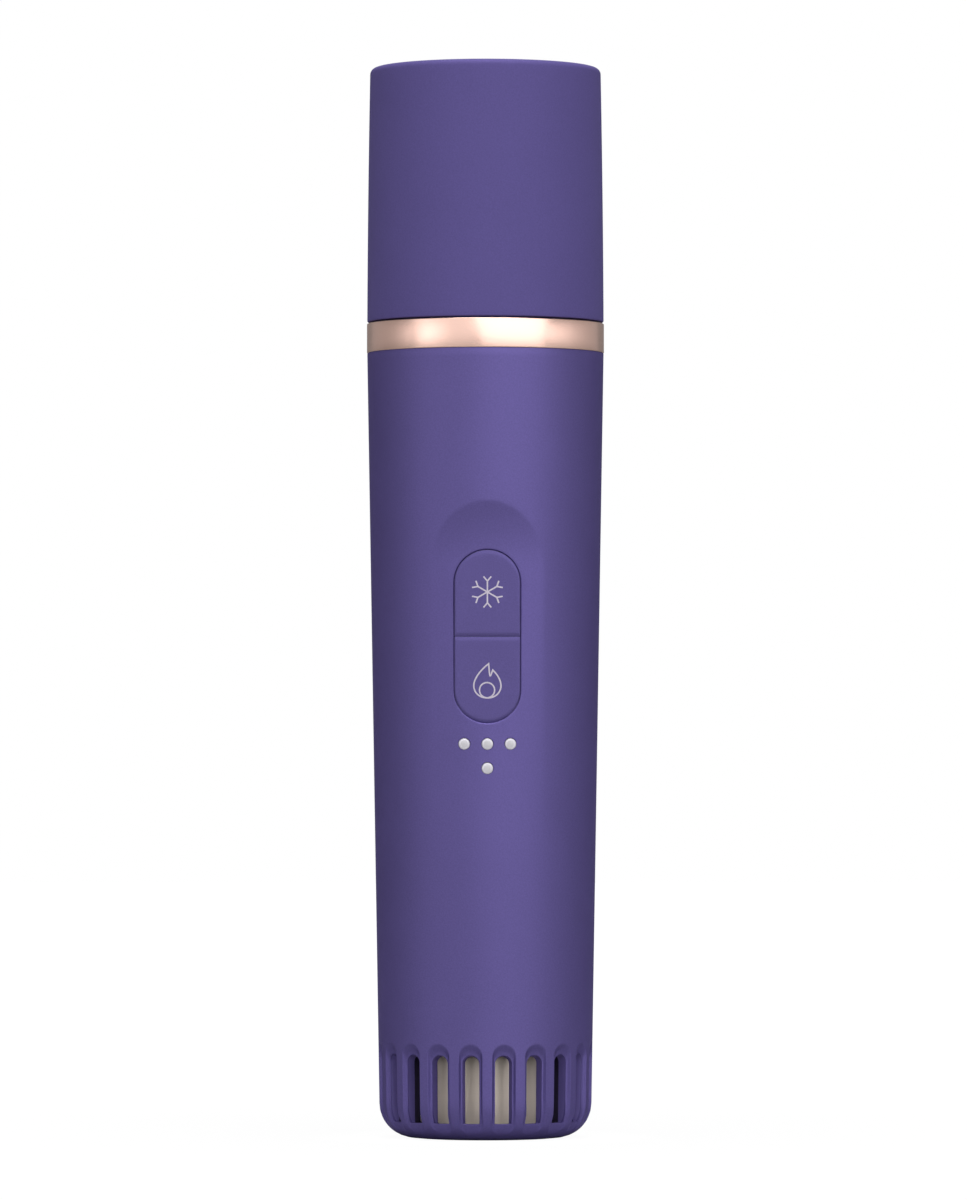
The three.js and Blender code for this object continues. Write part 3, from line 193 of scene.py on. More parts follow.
class Wire:
    """A socket of a finish's nodes, so that sums on it read as sums."""

    def __init__(self, finish, socket):
        self.finish, self.socket = finish, socket

    def _work(self, operation, *terms):
        wide = any(isinstance(term, Wire) and term.socket.type != "VALUE" for term in terms)
        kind = "VectorMath" if wide else "Math"
        return self.finish.node(kind, {"operation": operation}, dict(enumerate(terms)))

    def __add__(self, other):
        return self._work("ADD", self, other)

    def __sub__(self, other):
        return self._work("SUBTRACT", self, other)

    def __rsub__(self, other):
        return self._work("SUBTRACT", other, self)

    def __mul__(self, other):
        return self._work("MULTIPLY", self, other)

    def __truediv__(self, other):
        return self._work("DIVIDE", self, other)

    def __pow__(self, other):
        return self._work("POWER", self, other)

    def __gt__(self, other):
        return self._work("GREATER_THAN", self, other)

    def __lt__(self, other):
        return self._work("LESS_THAN", self, other)

    __radd__, __rmul__ = __add__, __mul__

    def parts(self):
        """The three axes of a vector."""
        return [self.finish.node("SeparateXYZ", {}, {"Vector": self}, out=i) for i in range(3)]


def set_stops(ramp, stops):
    while len(ramp.elements) < len(stops):
        ramp.elements.new(1)
    for element, (place, colour) in zip(ramp.elements, stops):
        element.position = place
        element.color = (*colour, 1)


def soft_touch(name, colour, roughness=0.5, pearl=0.7, grain=0.03, gloss=0.5, zones=()):
    """Satin coat full of fine pearl pigment, which tints its gloss, with a trace of handling.
    A zone is a mask, made from the place in millimetres, where the coat has another colour and pearl."""
    coat = Finish(name, IOR=1.45, Metallic=pearl, Specular_IOR_Level=gloss, Specular_Tint=pearl_edge)
    where = coat.place()
    speckle = coat.noise(where, speckle_size, detail=1.0)
    clouds = coat.noise(where, cloud_size, detail=3.0)
    tone = coat.mottled(speckle * 0.75 + clouds * 0.25, colour, 0.93, 1.07)
    for zone, zone_colour, zone_pearl in zones:
        mask = zone(*where.parts())
        tone = coat.blend(mask, tone, zone_colour)
        coat.feed(coat.shader, {"Metallic": mask * (zone_pearl - pearl) + pearl})
    coat.feed(coat.shader, {"Base Color": tone, "Roughness": roughness + (clouds - 0.5) * 0.08})
    coat.relief(speckle, grain, 0.35)
    return coat.material


def build(name, points, faces, finish, crease=38):
    """A piece from points in millimetres. Edges that turn by more than the crease angle stay sharp."""
    mesh = bpy.data.meshes.new(name)
    mesh.from_pydata([tuple(MM * c for c in point) for point in points], [], faces)
    mesh.materials.append(finish)
    mesh.shade_smooth()
    mesh.set_sharp_from_angle(angle=math.radians(crease))
    piece = bpy.data.objects.new(name, mesh)
    scene.collection.objects.link(piece)
    return piece


def seat(piece, body, slot, *nodes):
    """The piece moves with a body and stands for these nodes, which are hidden. The slot is not used."""
    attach(piece, body)
    if nodes:
        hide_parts(*nodes)


def even(first, last, steps):
    """Evenly spaced values, with both ends."""
    return [first + (last - first) * k / steps for k in range(steps + 1)]


def strips(rings):
    """Faces between rings of point numbers; each ring lies inside or below the one before it."""
    quads = []
    for outer, inner in zip(rings, rings[1:]):
        for k in range(len(outer)):
            n = (k + 1) % len(outer)
            quads.append(list(dict.fromkeys([outer[k], outer[n], inner[n], inner[k]])))
    return [quad for quad in quads if len(quad) > 2]


def stadium(half_width, low, high, side_steps=8, end_steps=14):
    """Points round an upright slot with round ends, anticlockwise from the foot of its right side."""
    foot, top = low + half_width, high - half_width
    side, turns = even(foot, top, side_steps)[:-1], even(0, math.pi, end_steps)[:-1]
    right = [(half_width, z) for z in side]
    over = [(half_width * math.cos(a), top + half_width * math.sin(a)) for a in turns]
    left = [(-half_width, foot + top - z) for z in side]
    under = [(-half_width * math.cos(a), foot - half_width * math.sin(a)) for a in turns]
    return right + over + left + under


def flat_ended(half_width, low, high, side_steps=8, end_steps=14):
    """The same count of points round a slot whose top end is round and whose foot is nearly square."""
    points = stadium(half_width, low - half_width + slot_corner, high, side_steps, end_steps)
    for k, turn in enumerate(even(0, math.pi, end_steps)[:-1], 2 * side_steps + end_steps):
        across = -math.copysign(abs(math.cos(turn)) ** slot_squareness, math.cos(turn))
        points[k] = (half_width * across, low + slot_corner * (1 - math.sin(turn) ** slot_squareness))
    return points


# The handle's outside as a turned profile. A place on it is given by its run: the height on the tapered side,
# and below that the way still to go round the foot's rounded corner.
lean = math.atan((handle_top_radius - handle_foot_radius) / handle_height)
corner_top = foot_corner * (1 - math.sin(lean))
corner_middle = handle_foot_radius + math.tan(lean) * foot_corner - foot_corner / math.cos(lean)
corner_end = corner_top - foot_corner * (math.pi / 2 - lean)


def side_radius(z):
    """The tapered side's radius at a height."""
    return handle_foot_radius + (handle_top_radius - handle_foot_radius) * z / handle_height


def outside_at(run):
    """The radius and the height at a run."""
    if run >= corner_top:
        return side_radius(run), run
    turn = lean + (corner_top - run) / foot_corner
    return corner_middle + foot_corner * math.cos(turn), foot_corner * (1 - math.sin(turn))


def run_at(z):
    """The run at a height."""
    if z >= corner_top:
        return z
    return corner_top - foot_corner * (math.asin(1 - z / foot_corner) - lean)


def bore_at(z):
    """The bore's radius at a height, with the chamfer over the floor."""
    chamfered = side_radius(floor_height) - handle_wall - floor_chamfer + (z - floor_height)
    return min(side_radius(z) - handle_wall, chamfered)


def panel_reach(z):
    """From the wand's axis forward to the plane that the keys are built on."""
    chord = math.sqrt(side_radius(pill_height) ** 2 - panel_half_width**2)
    depth = side_radius(pill_height) - chord
    bow = (arch_length**2 + depth**2) / (2 * depth)
    rise = min(max(z - arch_foot, 0), 0.95 * bow)  # so far up the arch bends forward
    return chord + math.tan(panel_tilt) * (z - pill_height) + bow - math.sqrt(bow**2 - rise**2)


def smooth_share(value, low, high):
    """0 up to low and 1 from high on, with a smooth change between them."""
    share = min(max((value - low) / (high - low), 0), 1)
    return share * share * (3 - 2 * share)


def flattened(radius, turn, z):
    """The bore's radius where the wall is flat behind the panel, with a soft edge. The flat runs out
    above the vents."""
    forward = math.cos(turn)
    if forward < front_share or z < flat_gone or z > arch_foot + arch_length + flat_over_arch:
        return radius
    cut = (panel_reach(z) - panel_wall) / forward
    near = max(panel_blend - abs(radius - cut), 0) / panel_blend
    lesser = min(radius, cut) - near**3 * panel_blend / 6
    return radius - smooth_share(z, flat_gone, flat_foot) * (radius - lesser)


def scoop_sunk(x, z):
    """How far the scoop's face lies under the handle's round side, with a soft edge."""
    share = (z - scoop_foot) / (arch_foot - scoop_foot)
    levelled = (1 + share - math.hypot(1 - share, scoop_easing)) / 2
    depth = scoop_depth * max(levelled, 0) ** scoop_fade
    within = 1 - (x / panel_half_width) ** 2 - (max(z - arch_foot, 0) / arch_length) ** 2
    return (depth * within + math.hypot(depth * within, scoop_edge * depth / scoop_depth)) / 2


def scoop_face(x, z):
    """From the wand's axis forward to the scoop's face."""
    return math.sqrt(side_radius(z) ** 2 - x**2) - scoop_sunk(x, z)


def on_outside(turn, run):
    """A point of the outer skin, with the scoop in its front."""
    radius, z = outside_at(run)
    x, forward = radius * math.sin(turn), radius * math.cos(turn)
    if forward > front_share * radius and z > scoop_foot:
        forward -= scoop_sunk(x, z)
    return x, -forward, z


def on_inside(turn, z):
    """A point of the bore."""
    radius = flattened(bore_at(z), turn, z)
    return radius * math.sin(turn), -radius * math.cos(turn), z


def side_spot(facing, across, z, radius, depth):
    """A point of an opening that is cut straight in from the side: its place in the wall, and how far in."""
    forward = math.sqrt(radius**2 - across**2) - depth
    return (
        forward * math.sin(facing) + across * math.cos(facing),
        -forward * math.cos(facing) + across * math.sin(facing),
        z,
    )


def flat_spot(point, by_height=float):
    """Where a point lies on a skin laid out flat, with the seam at the wand's right side."""
    x, y, z = point
    turn = math.atan2(x, -y)
    return (turn if turn < math.pi / 2 else turn - 2 * math.pi), by_height(z)


# Turns of the upright rows of points, from the seam at the wand's right side round to the seam again.
columns = [math.pi / 2 - 2 * math.pi * (1 - k / shell_columns) for k in range(shell_columns + 1)]


class Shell:
    """Points and faces of a tube with openings in its side, as they are made."""

    def __init__(self):
        self.points, self.faces = [], []

    def add(self, points):
        start = len(self.points)
        self.points += points
        return list(range(start, len(self.points)))

    def ring(self, radius, z):
        """A level ring of points, one in each column."""
        return self.add([(radius * math.sin(t), -radius * math.cos(t), z) for t in columns[:-1]])

    def skin(self, surface, rows, holes, details, inwards):
        """Triangles over a surface laid out flat as (turn, run), round the holes' rings of (turn, run).
        Gives the point numbers of each hole's ring, of the lowest row and of the highest row."""
        flat = [(turn, rows[0]) for turn in columns] + [(columns[-1], run) for run in rows[1:-1]]
        highest = len(flat)
        flat += [(turn, rows[-1]) for turn in reversed(columns)]
        flat += [(columns[0], run) for run in rows[-2:0:-1]]
        border = len(flat)
        seam = {shell_columns + k: -k % border for k in range(len(rows))}  # right edge to left edge
        edges = [(k, (k + 1) % border) for k in range(border)]
        owner, rings, spans = [None] * border, [], []
        for number, hole in enumerate(holes):
            ring = list(range(len(flat), len(flat) + len(hole)))
            flat += hole
            owner += [number] * len(hole)
            rings.append(ring)
            edges += zip(ring, ring[1:] + ring[:1])
            spans.append([(min(axis), max(axis)) for axis in zip(*hole)])

        def inside(number, turn, run):
            crossings, hole = False, holes[number]
            for (turn_a, run_a), (turn_b, run_b) in zip(hole, hole[1:] + hole[:1]):
                if (run_a > run) != (run_b > run):
                    crossings ^= turn < turn_a + (turn_b - turn_a) * (run - run_a) / (run_b - run_a)
            return crossings

        def open_at(turn, run):
            return any(
                left < turn < right and foot < run < top and inside(number, turn, run)
                for number, ((left, right), (foot, top)) in enumerate(spans)
            )

        grid = [(turn, run) for run in rows[1:-1] for turn in columns[1:-1]]
        for batch, clearance in ((details, detail_clearance), (grid, grid_clearance)):
            taken = KDTree(len(flat))
            for k, (turn, run) in enumerate(flat):
                taken.insert((turn * turn_length, run, 0), k)
            taken.balance()
            for turn, run in batch:
                if taken.find((turn * turn_length, run, 0))[2] > clearance and not open_at(turn, run):
                    flat.append((turn, run))
                    owner.append(None)
        found = delaunay_2d_cdt([Vector((t * turn_length, r)) for t, r in flat], edges, [], 0, 1e-6)
        numbers = self.add([surface(turn, run) for turn, run in flat])
        for triangle in found[2]:
            corners = [found[3][k][0] for k in triangle]
            owners = {owner[k] for k in corners}
            if len(owners) == 1 and None not in owners:
                middle = [sum(flat[k][axis] for k in corners) / 3 for axis in (0, 1)]
                if inside(owners.pop(), *middle):
                    continue
            face = [numbers[seam.get(k, k)] for k in corners]
            self.faces.append(face[::-1] if inwards else face)
        top = numbers[highest : highest + len(columns)][::-1]
        return [[numbers[k] for k in ring] for ring in rings], numbers[:shell_columns], top[:-1]

    def walls(self, outside, outer_rows, by_height, inner_side, inner_rows, openings, details=()):
        """The two skins and the sides of the openings between them. Gives the rows of points at the foot and
        at the top of the outer skin, and then of the inner skin."""
        holes = [[flat_spot(point, by_height) for point in rows[0]] for rows in openings]
        outer_rings, *outer_ends = self.skin(outside, outer_rows, holes, details, False)
        holes = [[flat_spot(point) for point in rows[-1]] for rows in openings]
        inner_rings, *inner_ends = self.skin(inner_side, inner_rows, holes, (), True)
        for rows, outer, inner in zip(openings, outer_rings, inner_rings):
            self.faces += strips([outer, *[self.add(row) for row in rows[1:-1]], inner])
        return *outer_ends, *inner_ends


def lip_rows(outline, spot, rounding, drop=None):
    """Rings of points from the even surface round an opening and over its rounded lip. A lip with a drop
    bends down that far and no further, as a soft bevel."""
    rows = [[spot(x, z, 0) for x, z in outline(rounding + lip_margin)]]
    for share in even(0, 1, lip_steps):
        turn = math.pi / 2 * share
        grow, depth = rounding * (1 - math.sin(turn)), rounding * (1 - math.cos(turn))
        if drop:
            grow, depth = rounding * (1 - share), drop * share**2
        rows.append([spot(x, z, depth) for x, z in outline(grow)])
    return rows


def vent_rows(facing):
    """A vent: a soft hollow that is shallow at its foot, and a slot in it that breaks through the wall."""

    def spot(x, z, depth):
        return side_spot(facing, x, z, outside_at(run_at(z))[0], depth)

    def above_foot(z):
        return smooth_share(z, vent_fade_foot, vent_fade_top)

    def hollow_depth(z):
        return vent_foot_depth + (vent_depth - vent_foot_depth) * above_foot(z)

    def slot(grow):
        return flat_ended(slot_half_width + grow, slot_foot - grow, slot_top + grow)

    margin = stadium(vent_half_width + lip_margin, vent_foot - lip_margin, vent_top + lip_margin)
    rows = [[spot(x, z, 0) for x, z in margin]]
    for share in hollow_shares:
        ring = []
        for outer, inner in zip(stadium(vent_half_width, vent_foot, vent_top), slot(slot_rounding)):
            x, z = (a + (b - a) * share for a, b in zip(outer, inner))
            steepness = hollow_curve + hollow_curve_rise * above_foot(z)
            ring.append(spot(x, z, hollow_depth(z) * math.sin(math.pi / 2 * share**steepness) ** 2))
        rows.append(ring)
    for turn in even(0, math.pi / 2, 3)[1:]:
        grow, sunk = slot_rounding * (1 - math.sin(turn)), slot_rounding * (1 - math.cos(turn))
        rows.append([spot(x, z, hollow_depth(z) + sunk) for x, z in slot(grow)])
    inner = flat_ended(slot_half_width - slot_draft, slot_foot, slot_top - slot_draft)
    rows.append([side_spot(facing, x, z, bore_at(z), 0) for x, z in inner])
    return rows


def panel_rows(outline, rounding, drop=None):
    """An opening in the scoop's face, through to the flat behind it, by heights from the keys' middle."""

    def face_spot(x, z, depth):
        height = pill_height + z * math.cos(panel_tilt)
        return x, depth - scoop_face(x, height), height

    def inner_spot(x, z):
        height = pill_height + z * math.cos(panel_tilt)
        return x, panel_wall - panel_reach(height), height

    return lip_rows(outline, face_spot, rounding, drop) + [[inner_spot(x, z) for x, z in outline(0)]]


def circle(radius, x, z, steps=24):
    """Points round a circle, anticlockwise."""
    return [(x + radius * math.cos(a), z + radius * math.sin(a)) for a in even(0, 2 * math.pi, steps)[:-1]]


def lying(half_width, half_height, middle):
    """Points round a slot that lies on its side, anticlockwise."""
    upright = stadium(half_height, -half_width, half_width, side_steps=6, end_steps=12)
    return [(z, middle - x) for x, z in upright]


def side_rows(facing, outline, radius_at, wall, rounding):
    """An opening straight in through a side wall, with a rounded lip."""

    def spot(x, z, depth):
        return side_spot(facing, x, z, radius_at(z), depth)

    return lip_rows(outline, spot, rounding) + [[spot(x, z, wall) for x, z in outline(0)]]


def edge_details():
    """Points along the scoop's edge, closely spaced across it, so that its soft edge keeps its shape."""
    spots, edge_steps, arch_steps = [], 70, 48
    for offset in (-0.6, -0.3, -0.1, 0.1, 0.3, 0.6):
        across, up = panel_half_width + offset, arch_length + offset
        for z in even(scoop_foot, arch_foot, edge_steps)[:-1]:
            spots += [(side * math.asin(across / side_radius(z)), z) for side in (-1, 1)]
        for bearing in even(0, math.pi, arch_steps):
            x, z = across * math.cos(bearing), arch_foot + up * math.sin(bearing)
            spots.append((math.asin(x / side_radius(z)), z))
    return spots


class Solid:
    """Points and faces of closed forms built from outlines."""

    def __init__(self, place):
        self.place, self.points, self.faces = place, [], []

    def stack(self, rows):
        """A closed form from outlines of (x, z) at depths, front to back, as seen from the front."""
        rings = []
        for outline, depth in rows:
            start = len(self.points)
            self.points += [self.place(x, depth, z) for x, z in outline]
            rings.append(list(range(start, len(self.points))))
        self.faces += strips(rings[::-1])
        self.faces += [rings[0], rings[-1][::-1]]


def joined(*parts):
    """Several sets of points and faces as one."""
    points, faces = [], []
    for more, quads in parts:
        faces += [[len(points) + k for k in quad] for quad in quads]
        points += more
    return points, faces


def motor_ribs():
    """Two ribs on the floor, at the sides of the motor, which they keep upright."""
    forms = []
    for side in (-1, 1):
        rib, rows = Solid(lambda y, depth, z: (side * (rib_near + depth), -side * y, z)), []
        for inset, depth in (*rib_edge, (0, rib_far - rib_near)):
            half, foot, top = rib_half_width - inset, floor_height - sunk_foot, rib_top - inset
            rows.append(([(-half, foot), (half, foot), (half, top), (-half, top)], depth))
        rib.stack(rows)
        forms.append((rib.points, rib.faces))
    return forms


def shell_of_handle():
    """The two skins with all the openings between them, then the rim, the base, the floor and the ribs."""

    def pill(grow):
        half_height, steps = pill_half_height + grow, (pill_side_steps, pill_end_steps)
        return stadium(pill_half_width + grow, -half_height, half_height, *steps)

    def port(grow):
        return lying(port_half_width + grow, port_half_height + grow, port_height)

    shell, tall = Shell(), handle_height - rim_rounding
    openings = [vent_rows(math.radians(vent_turn + 360 * k / vent_count)) for k in range(vent_count)]
    openings.append(panel_rows(pill, opening_rounding, lip_drop))
    for x, z in lamp_places:
        openings.append(panel_rows(lambda grow: circle(lamp_hole_radius + grow, x, z), lamp_hole_rounding))
    openings.append(side_rows(-math.pi, port, side_radius, handle_wall, opening_rounding))
    outer_rows = even(corner_end, corner_top, corner_steps)[:-1] + even(corner_top, tall, wall_steps)
    bore_rows = [floor_height, floor_height + floor_chamfer, *even(bore_foot, tall, bore_steps)]
    base_row, rim_row, floor_row, bore_row = shell.walls(
        on_outside, outer_rows, run_at, on_inside, bore_rows, openings, edge_details()
    )
    rim = [shell.ring(handle_top_radius - rim_ease, handle_height - rim_ease)]
    for radius in (handle_top_radius - rim_rounding, bore_at(handle_height) + rim_rounding):
        rim.append(shell.ring(radius, handle_height))
    shell.faces += strips([rim_row, *rim, bore_row])
    sunk = corner_middle - base_recess_edge
    base = [shell.ring(sunk, 0), shell.ring(sunk - base_recess, base_recess)]
    base += [shell.ring(base_ring * sunk, base_recess), shell.add([(0, 0, base_recess)]) * shell_columns]
    shell.faces += strips([ring[::-1] for ring in (base_row, *base)])
    floor = shell.ring(floor_ring * bore_at(floor_height), floor_height)
    shell.faces += strips([floor_row, floor, shell.add([(0, 0, floor_height)]) * shell_columns])
    return joined((shell.points, shell.faces), *motor_ribs())


def sunk_under_side(x, y, z, depth):
    """1 where a point lies deeper than that under the handle's side."""
    taper = (handle_top_radius - handle_foot_radius) / handle_height
    return z * taper + (handle_foot_radius - depth) > (x * x + y * y) ** 0.5


def slot_walls(x, y, z):
    """1 on the cut walls of the vents' slots, which are painted lighter to stand for the light that reaches
    into them.
    """
    short = (foot_corner - z) * (z < foot_corner)
    foot_recess = foot_corner - (foot_corner**2 - short * short) ** 0.5
    between = (z > slot_foot + slot_sill) * (z < vent_top)
    return sunk_under_side(x, y, z, foot_recess + hollow_reach) * between


def inside_of_handle(x, y, z):
    """1 in the bore, which is painted near black as the shade inside the handle."""
    return sunk_under_side(x, y, z, bore_shade_depth) * (z > floor_height - floor_margin)


# painted light on the slots' cut walls, and painted shade in the bore
handle_zones = [(slot_walls, slot_wall_painted_light, 0.7), (inside_of_handle, bore_painted_shade, 0.0)]
handle_coat = soft_touch("violet_soft_touch", violet, zones=handle_zones)
handle_moulding = build("handle_moulding", *shell_of_handle(), handle_coat)
seat(handle_moulding, "root", "handle_soft_touch", "handle_shell")


# Keys: two halves of one pill, moulded in the handle's plastic with the same coat, each with a flange that
# holds it behind the panel and a post for its switch. Their signs are printed in pale grey.
key_half_width, key_half_height, key_split = 5.2, 13.7, 0.015
key_proud = 0.2  # of the scoop's face at the keys' top
key_corner, key_least_corner = 0.15, 0.05
key_rounding, key_drop, key_end_reach, key_edge_steps = 0.27, 0.14, 0.5, 6
key_face_inset = 1.5  # of the flat face's first ring, as a share of the rounded edge
key_flange_near, key_flange_far, key_flange_reach = 1.9, 2.7, 0.8
key_post_radius, key_post_near, key_post_far = 1.3, 2.1, 3.9
sign_width, sign_height, sign_sink, stroke_gap = 0.23, 0.015, 0.03, 0.001
sharpest_bend = 0.5  # cosine of half the turn up to which a stroke keeps its width
flake_middle, flake_vertex, flake_branch, flake_splay = 7.06, 1.72, 0.95, math.radians(40)
flame_foot, flame_circle, flame_circle_off, flame_circle_rise = -9.68, 1.2, -0.05, 1.22
button_violet, sign_grey = (0.1, 0.081, 0.235), (0.5, 0.46, 0.54)


def eased(corners, steps=3, loop=False):
    """An outline whose corners, as (across, up, radius), are rounded to their radius."""
    outline = []
    for k, (across, up, radius) in enumerate(corners):
        here = Vector((across, up))
        if not radius or (not loop and k in (0, len(corners) - 1)):
            outline.append((across, up))
            continue
        before = (Vector(corners[k - 1][:2]) - here).normalized()
        after = (Vector(corners[(k + 1) % len(corners)][:2]) - here).normalized()
        half = before.angle(after) / 2
        centre = here + (before + after).normalized() * (radius / math.sin(half))
        start = here + before * (radius / math.tan(half)) - centre
        end = here + after * (radius / math.tan(half)) - centre
        sweep = math.pi - 2 * half
        for share in even(0, 1, steps):
            turned_off = start * math.sin((1 - share) * sweep) + end * math.sin(share * sweep)
            outline.append(tuple(centre + turned_off / math.sin(sweep)))
    return outline


def in_panel(x, depth, z):
    """A point of the panel's own frame: across it, into it and up it from the middle of the keys."""
    forward = math.sqrt(side_radius(pill_height) ** 2 - panel_half_width**2)
    y = -forward + depth * math.cos(panel_tilt) - z * math.sin(panel_tilt)
    return x, y, pill_height + depth * math.sin(panel_tilt) + z * math.cos(panel_tilt)


def scoop_rise(x, z):
    """How far the scoop's face is in front of the panel's plane."""
    height = pill_height + z * math.cos(panel_tilt)
    forward = scoop_face(x, height) - panel_reach(pill_height)
    return forward * math.cos(panel_tilt) - (height - pill_height) * math.sin(panel_tilt)


key_front = scoop_rise(0, pill_half_height) + key_proud


def half_pill(grow):
    """The upper key's outline grown by that much, anticlockwise. It shrinks at the split but doesn't grow."""
    half, top, foot = key_half_width + grow, key_half_height + grow, key_split - min(grow, 0)
    corner, middle = max(key_corner + min(grow, 0), key_least_corner), (top + foot) / 2
    outline = eased([(-half, middle, 0), (-half, foot, corner), (half, foot, corner), (half, middle, 0)], 4)
    over = even(0, math.pi, pill_end_steps)
    return outline + [(half * math.cos(a), top - half + half * math.sin(a)) for a in over]


def key_edge(share):
    """Outline that far inside the key's rounded edge, which reaches further in at its two ends."""
    middle = key_half_height / 2
    reach = key_end_reach * share / middle
    return [(x, z + reach * (middle - z)) for x, z in half_pill(-key_rounding * share)]


def key_solid(facing):
    """A key with its flange and its post: the upper one where facing is 1, the lower one where it is -1."""
    solid = Solid(lambda x, depth, z: in_panel(facing * x, depth, facing * z))
    rows = [(key_edge(key_face_inset), -key_front)]
    for share in even(0, 1, key_edge_steps):
        rows.append((key_edge(1 - share), -key_front + key_drop * share**2))
    flange = half_pill(key_flange_reach)
    rows += [(half_pill(0), key_flange_near), (flange, key_flange_near), (flange, key_flange_far)]
    solid.stack(rows)
    post = circle(key_post_radius, 0, pill_half_height / 2)
    solid.stack([(post, key_post_near), (post, key_post_far)])
    return solid


def stroke(solid, line, depth, closed=False):
    """A printed line of even width, laid along points (x, z) on the key's face."""
    count = len(line)
    sides = [[], []]
    for k, (x, z) in enumerate(line):
        here = Vector((x, z))
        before = Vector(line[k - 1]) if closed or k else here
        after = Vector(line[(k + 1) % count]) if closed or k < count - 1 else here
        first, second = (here - before), (after - here)
        first = (first if first.length else second).normalized()
        second = (second if second.length else first).normalized()
        mid = (first + second).normalized()
        reach = sign_width / 2 / max(mid.dot(first), sharpest_bend)
        for side, sign in zip(sides, (1, -1)):
            side.append(tuple(here + Vector((-mid.y, mid.x)) * (sign * reach)))
    left, right = sides
    if not closed:
        outline = right + left[::-1]
        solid.stack([(outline, depth - sign_height), (outline, depth + sign_sink)])
        return
    numbers = []
    for side, at in ((right, -sign_height), (left, -sign_height), (left, sign_sink), (right, sign_sink)):
        start = len(solid.points)
        solid.points += [solid.place(x, depth + at, z) for x, z in side]
        numbers.append(list(range(start, len(solid.points))))
    solid.faces += strips([*numbers, numbers[0]])


def smooth_line(points, steps=5):
    """A closed line through points (x, z, sharp): it bends at the sharp ones and curves through the rest."""
    line, count = [], len(points)
    for k in range(count):
        a, b, c, d = (Vector(points[(k + j) % count][:2]) for j in (-1, 0, 1, 2))
        leave = (c - b) if points[k][2] else (c - a) / 2
        arrive = (c - b) if points[(k + 1) % count][2] else (d - b) / 2
        for t in even(0, 1, steps)[:-1]:
            near = b * (2 * t**3 - 3 * t**2 + 1) + leave * (t**3 - 2 * t**2 + t)
            far = c * (3 * t**2 - 2 * t**3) + arrive * (t**3 - t**2)
            line.append(tuple(near + far))
    return line


def cold_sign():
    """A snowflake: six arms, each forked at its end. Strokes that cross lie a hair apart in depth."""
    sign = Solid(in_panel)

    def off(spot, reach, bearing):
        return spot[0] + reach * math.cos(bearing), spot[1] + reach * math.sin(bearing)

    for arm in range(6):
        bearing = math.pi / 2 + math.pi / 3 * arm
        tip = off((0, flake_middle), flake_vertex, bearing)
        ends = [off(tip, flake_branch, bearing + splay) for splay in (flake_splay, -flake_splay)]
        depth = -key_front - stroke_gap * arm
        stroke(sign, [ends[0], tip, ends[1]], depth)
        if arm < 3:
            stroke(sign, [tip, (-tip[0], 2 * flake_middle - tip[1])], depth - stroke_gap / 2)
    return sign


def heat_sign():
    """A flame with one lick, round a circle."""
    sign = Solid(in_panel)
    outline = [
        (0.0, 0.0, 0), (0.95, 0.16, 0), (1.72, 0.72, 0), (2.12, 1.6, 0), (2.05, 2.6, 0), (1.55, 3.6, 0),
        (0.86, 4.4, 1), (0.42, 3.5, 0), (0.2, 5.4, 1), (-0.55, 4.75, 0), (-1.35, 3.85, 0), (-1.98, 2.75, 0),
        (-2.14, 1.75, 0), (-1.78, 0.8, 0), (-0.98, 0.18, 0),
    ]  # fmt: skip
    stroke(sign, smooth_line([(x, flame_foot + z, sharp) for x, z, sharp in outline]), -key_front, True)
    ring = circle(flame_circle, flame_circle_off, flame_foot + flame_circle_rise, 40)
    stroke(sign, ring, -key_front - stroke_gap, True)
    return sign


button_coat = soft_touch("violet_key_coat", button_violet)
sign_print = soft_touch("pale_sign_print", sign_grey)
for heat, facing, sign in (("cold", 1, cold_sign()), ("heat", -1, heat_sign())):
    key = key_solid(facing)
    pressed = build(f"key_{heat}", key.points, key.faces, button_coat)
    seat(pressed, f"{heat}_button", "button_soft_touch", f"button_{heat}")
    printed = build(f"sign_{heat}", sign.points, sign.faces, sign_print)
    seat(printed, f"{heat}_button", "white_plastic")


# Light guide: one milky acrylic moulding behind the panel. Four pins stand on its web, with domed ends in the
# lamps' holes that are greyer in the middle.
lens_radius, lens_far, lens_sides = 0.9, 5.1, 32
lens_profile = [(0.12, -0.31), (0.3, -0.3), (0.5, -0.27), (0.64, -0.23), (0.76, -0.17)]
lens_profile += [(0.85, -0.08), (0.9, 0.05)]
grey_from, grey_to = 0.46, 0.68  # radii between which a lens goes from grey in its middle to white
web_half_width, web_top, web_foot, web_near, web_far, web_corner = 5.53, -15.3, -23.0, 1.9, 2.7, 0.6
milky_white, lens_middle_grey = (0.65, 0.635, 0.69), (0.52, 0.51, 0.54)


def box_outline(half_width, low, high, rounding, steps=3):
    """Points round a box with rounded corners, anticlockwise."""
    corners = [(-half_width, low), (half_width, low), (half_width, high), (-half_width, high)]
    return eased([(*corner, rounding) for corner in corners], steps, True)


def light_guide_solid():
    """The web, and the four pins with their domed ends."""
    solid = Solid(in_panel)
    web = box_outline(web_half_width, web_foot, web_top, web_corner, 4)
    solid.stack([(web, web_near), (web, web_far)])
    for x, z in lamp_places:
        rise = scoop_rise(x, z)
        rows = [(circle(radius, x, z, lens_sides), depth - rise) for radius, depth in lens_profile]
        solid.stack(rows + [(circle(lens_radius, x, z, lens_sides), lens_far)])
    return solid


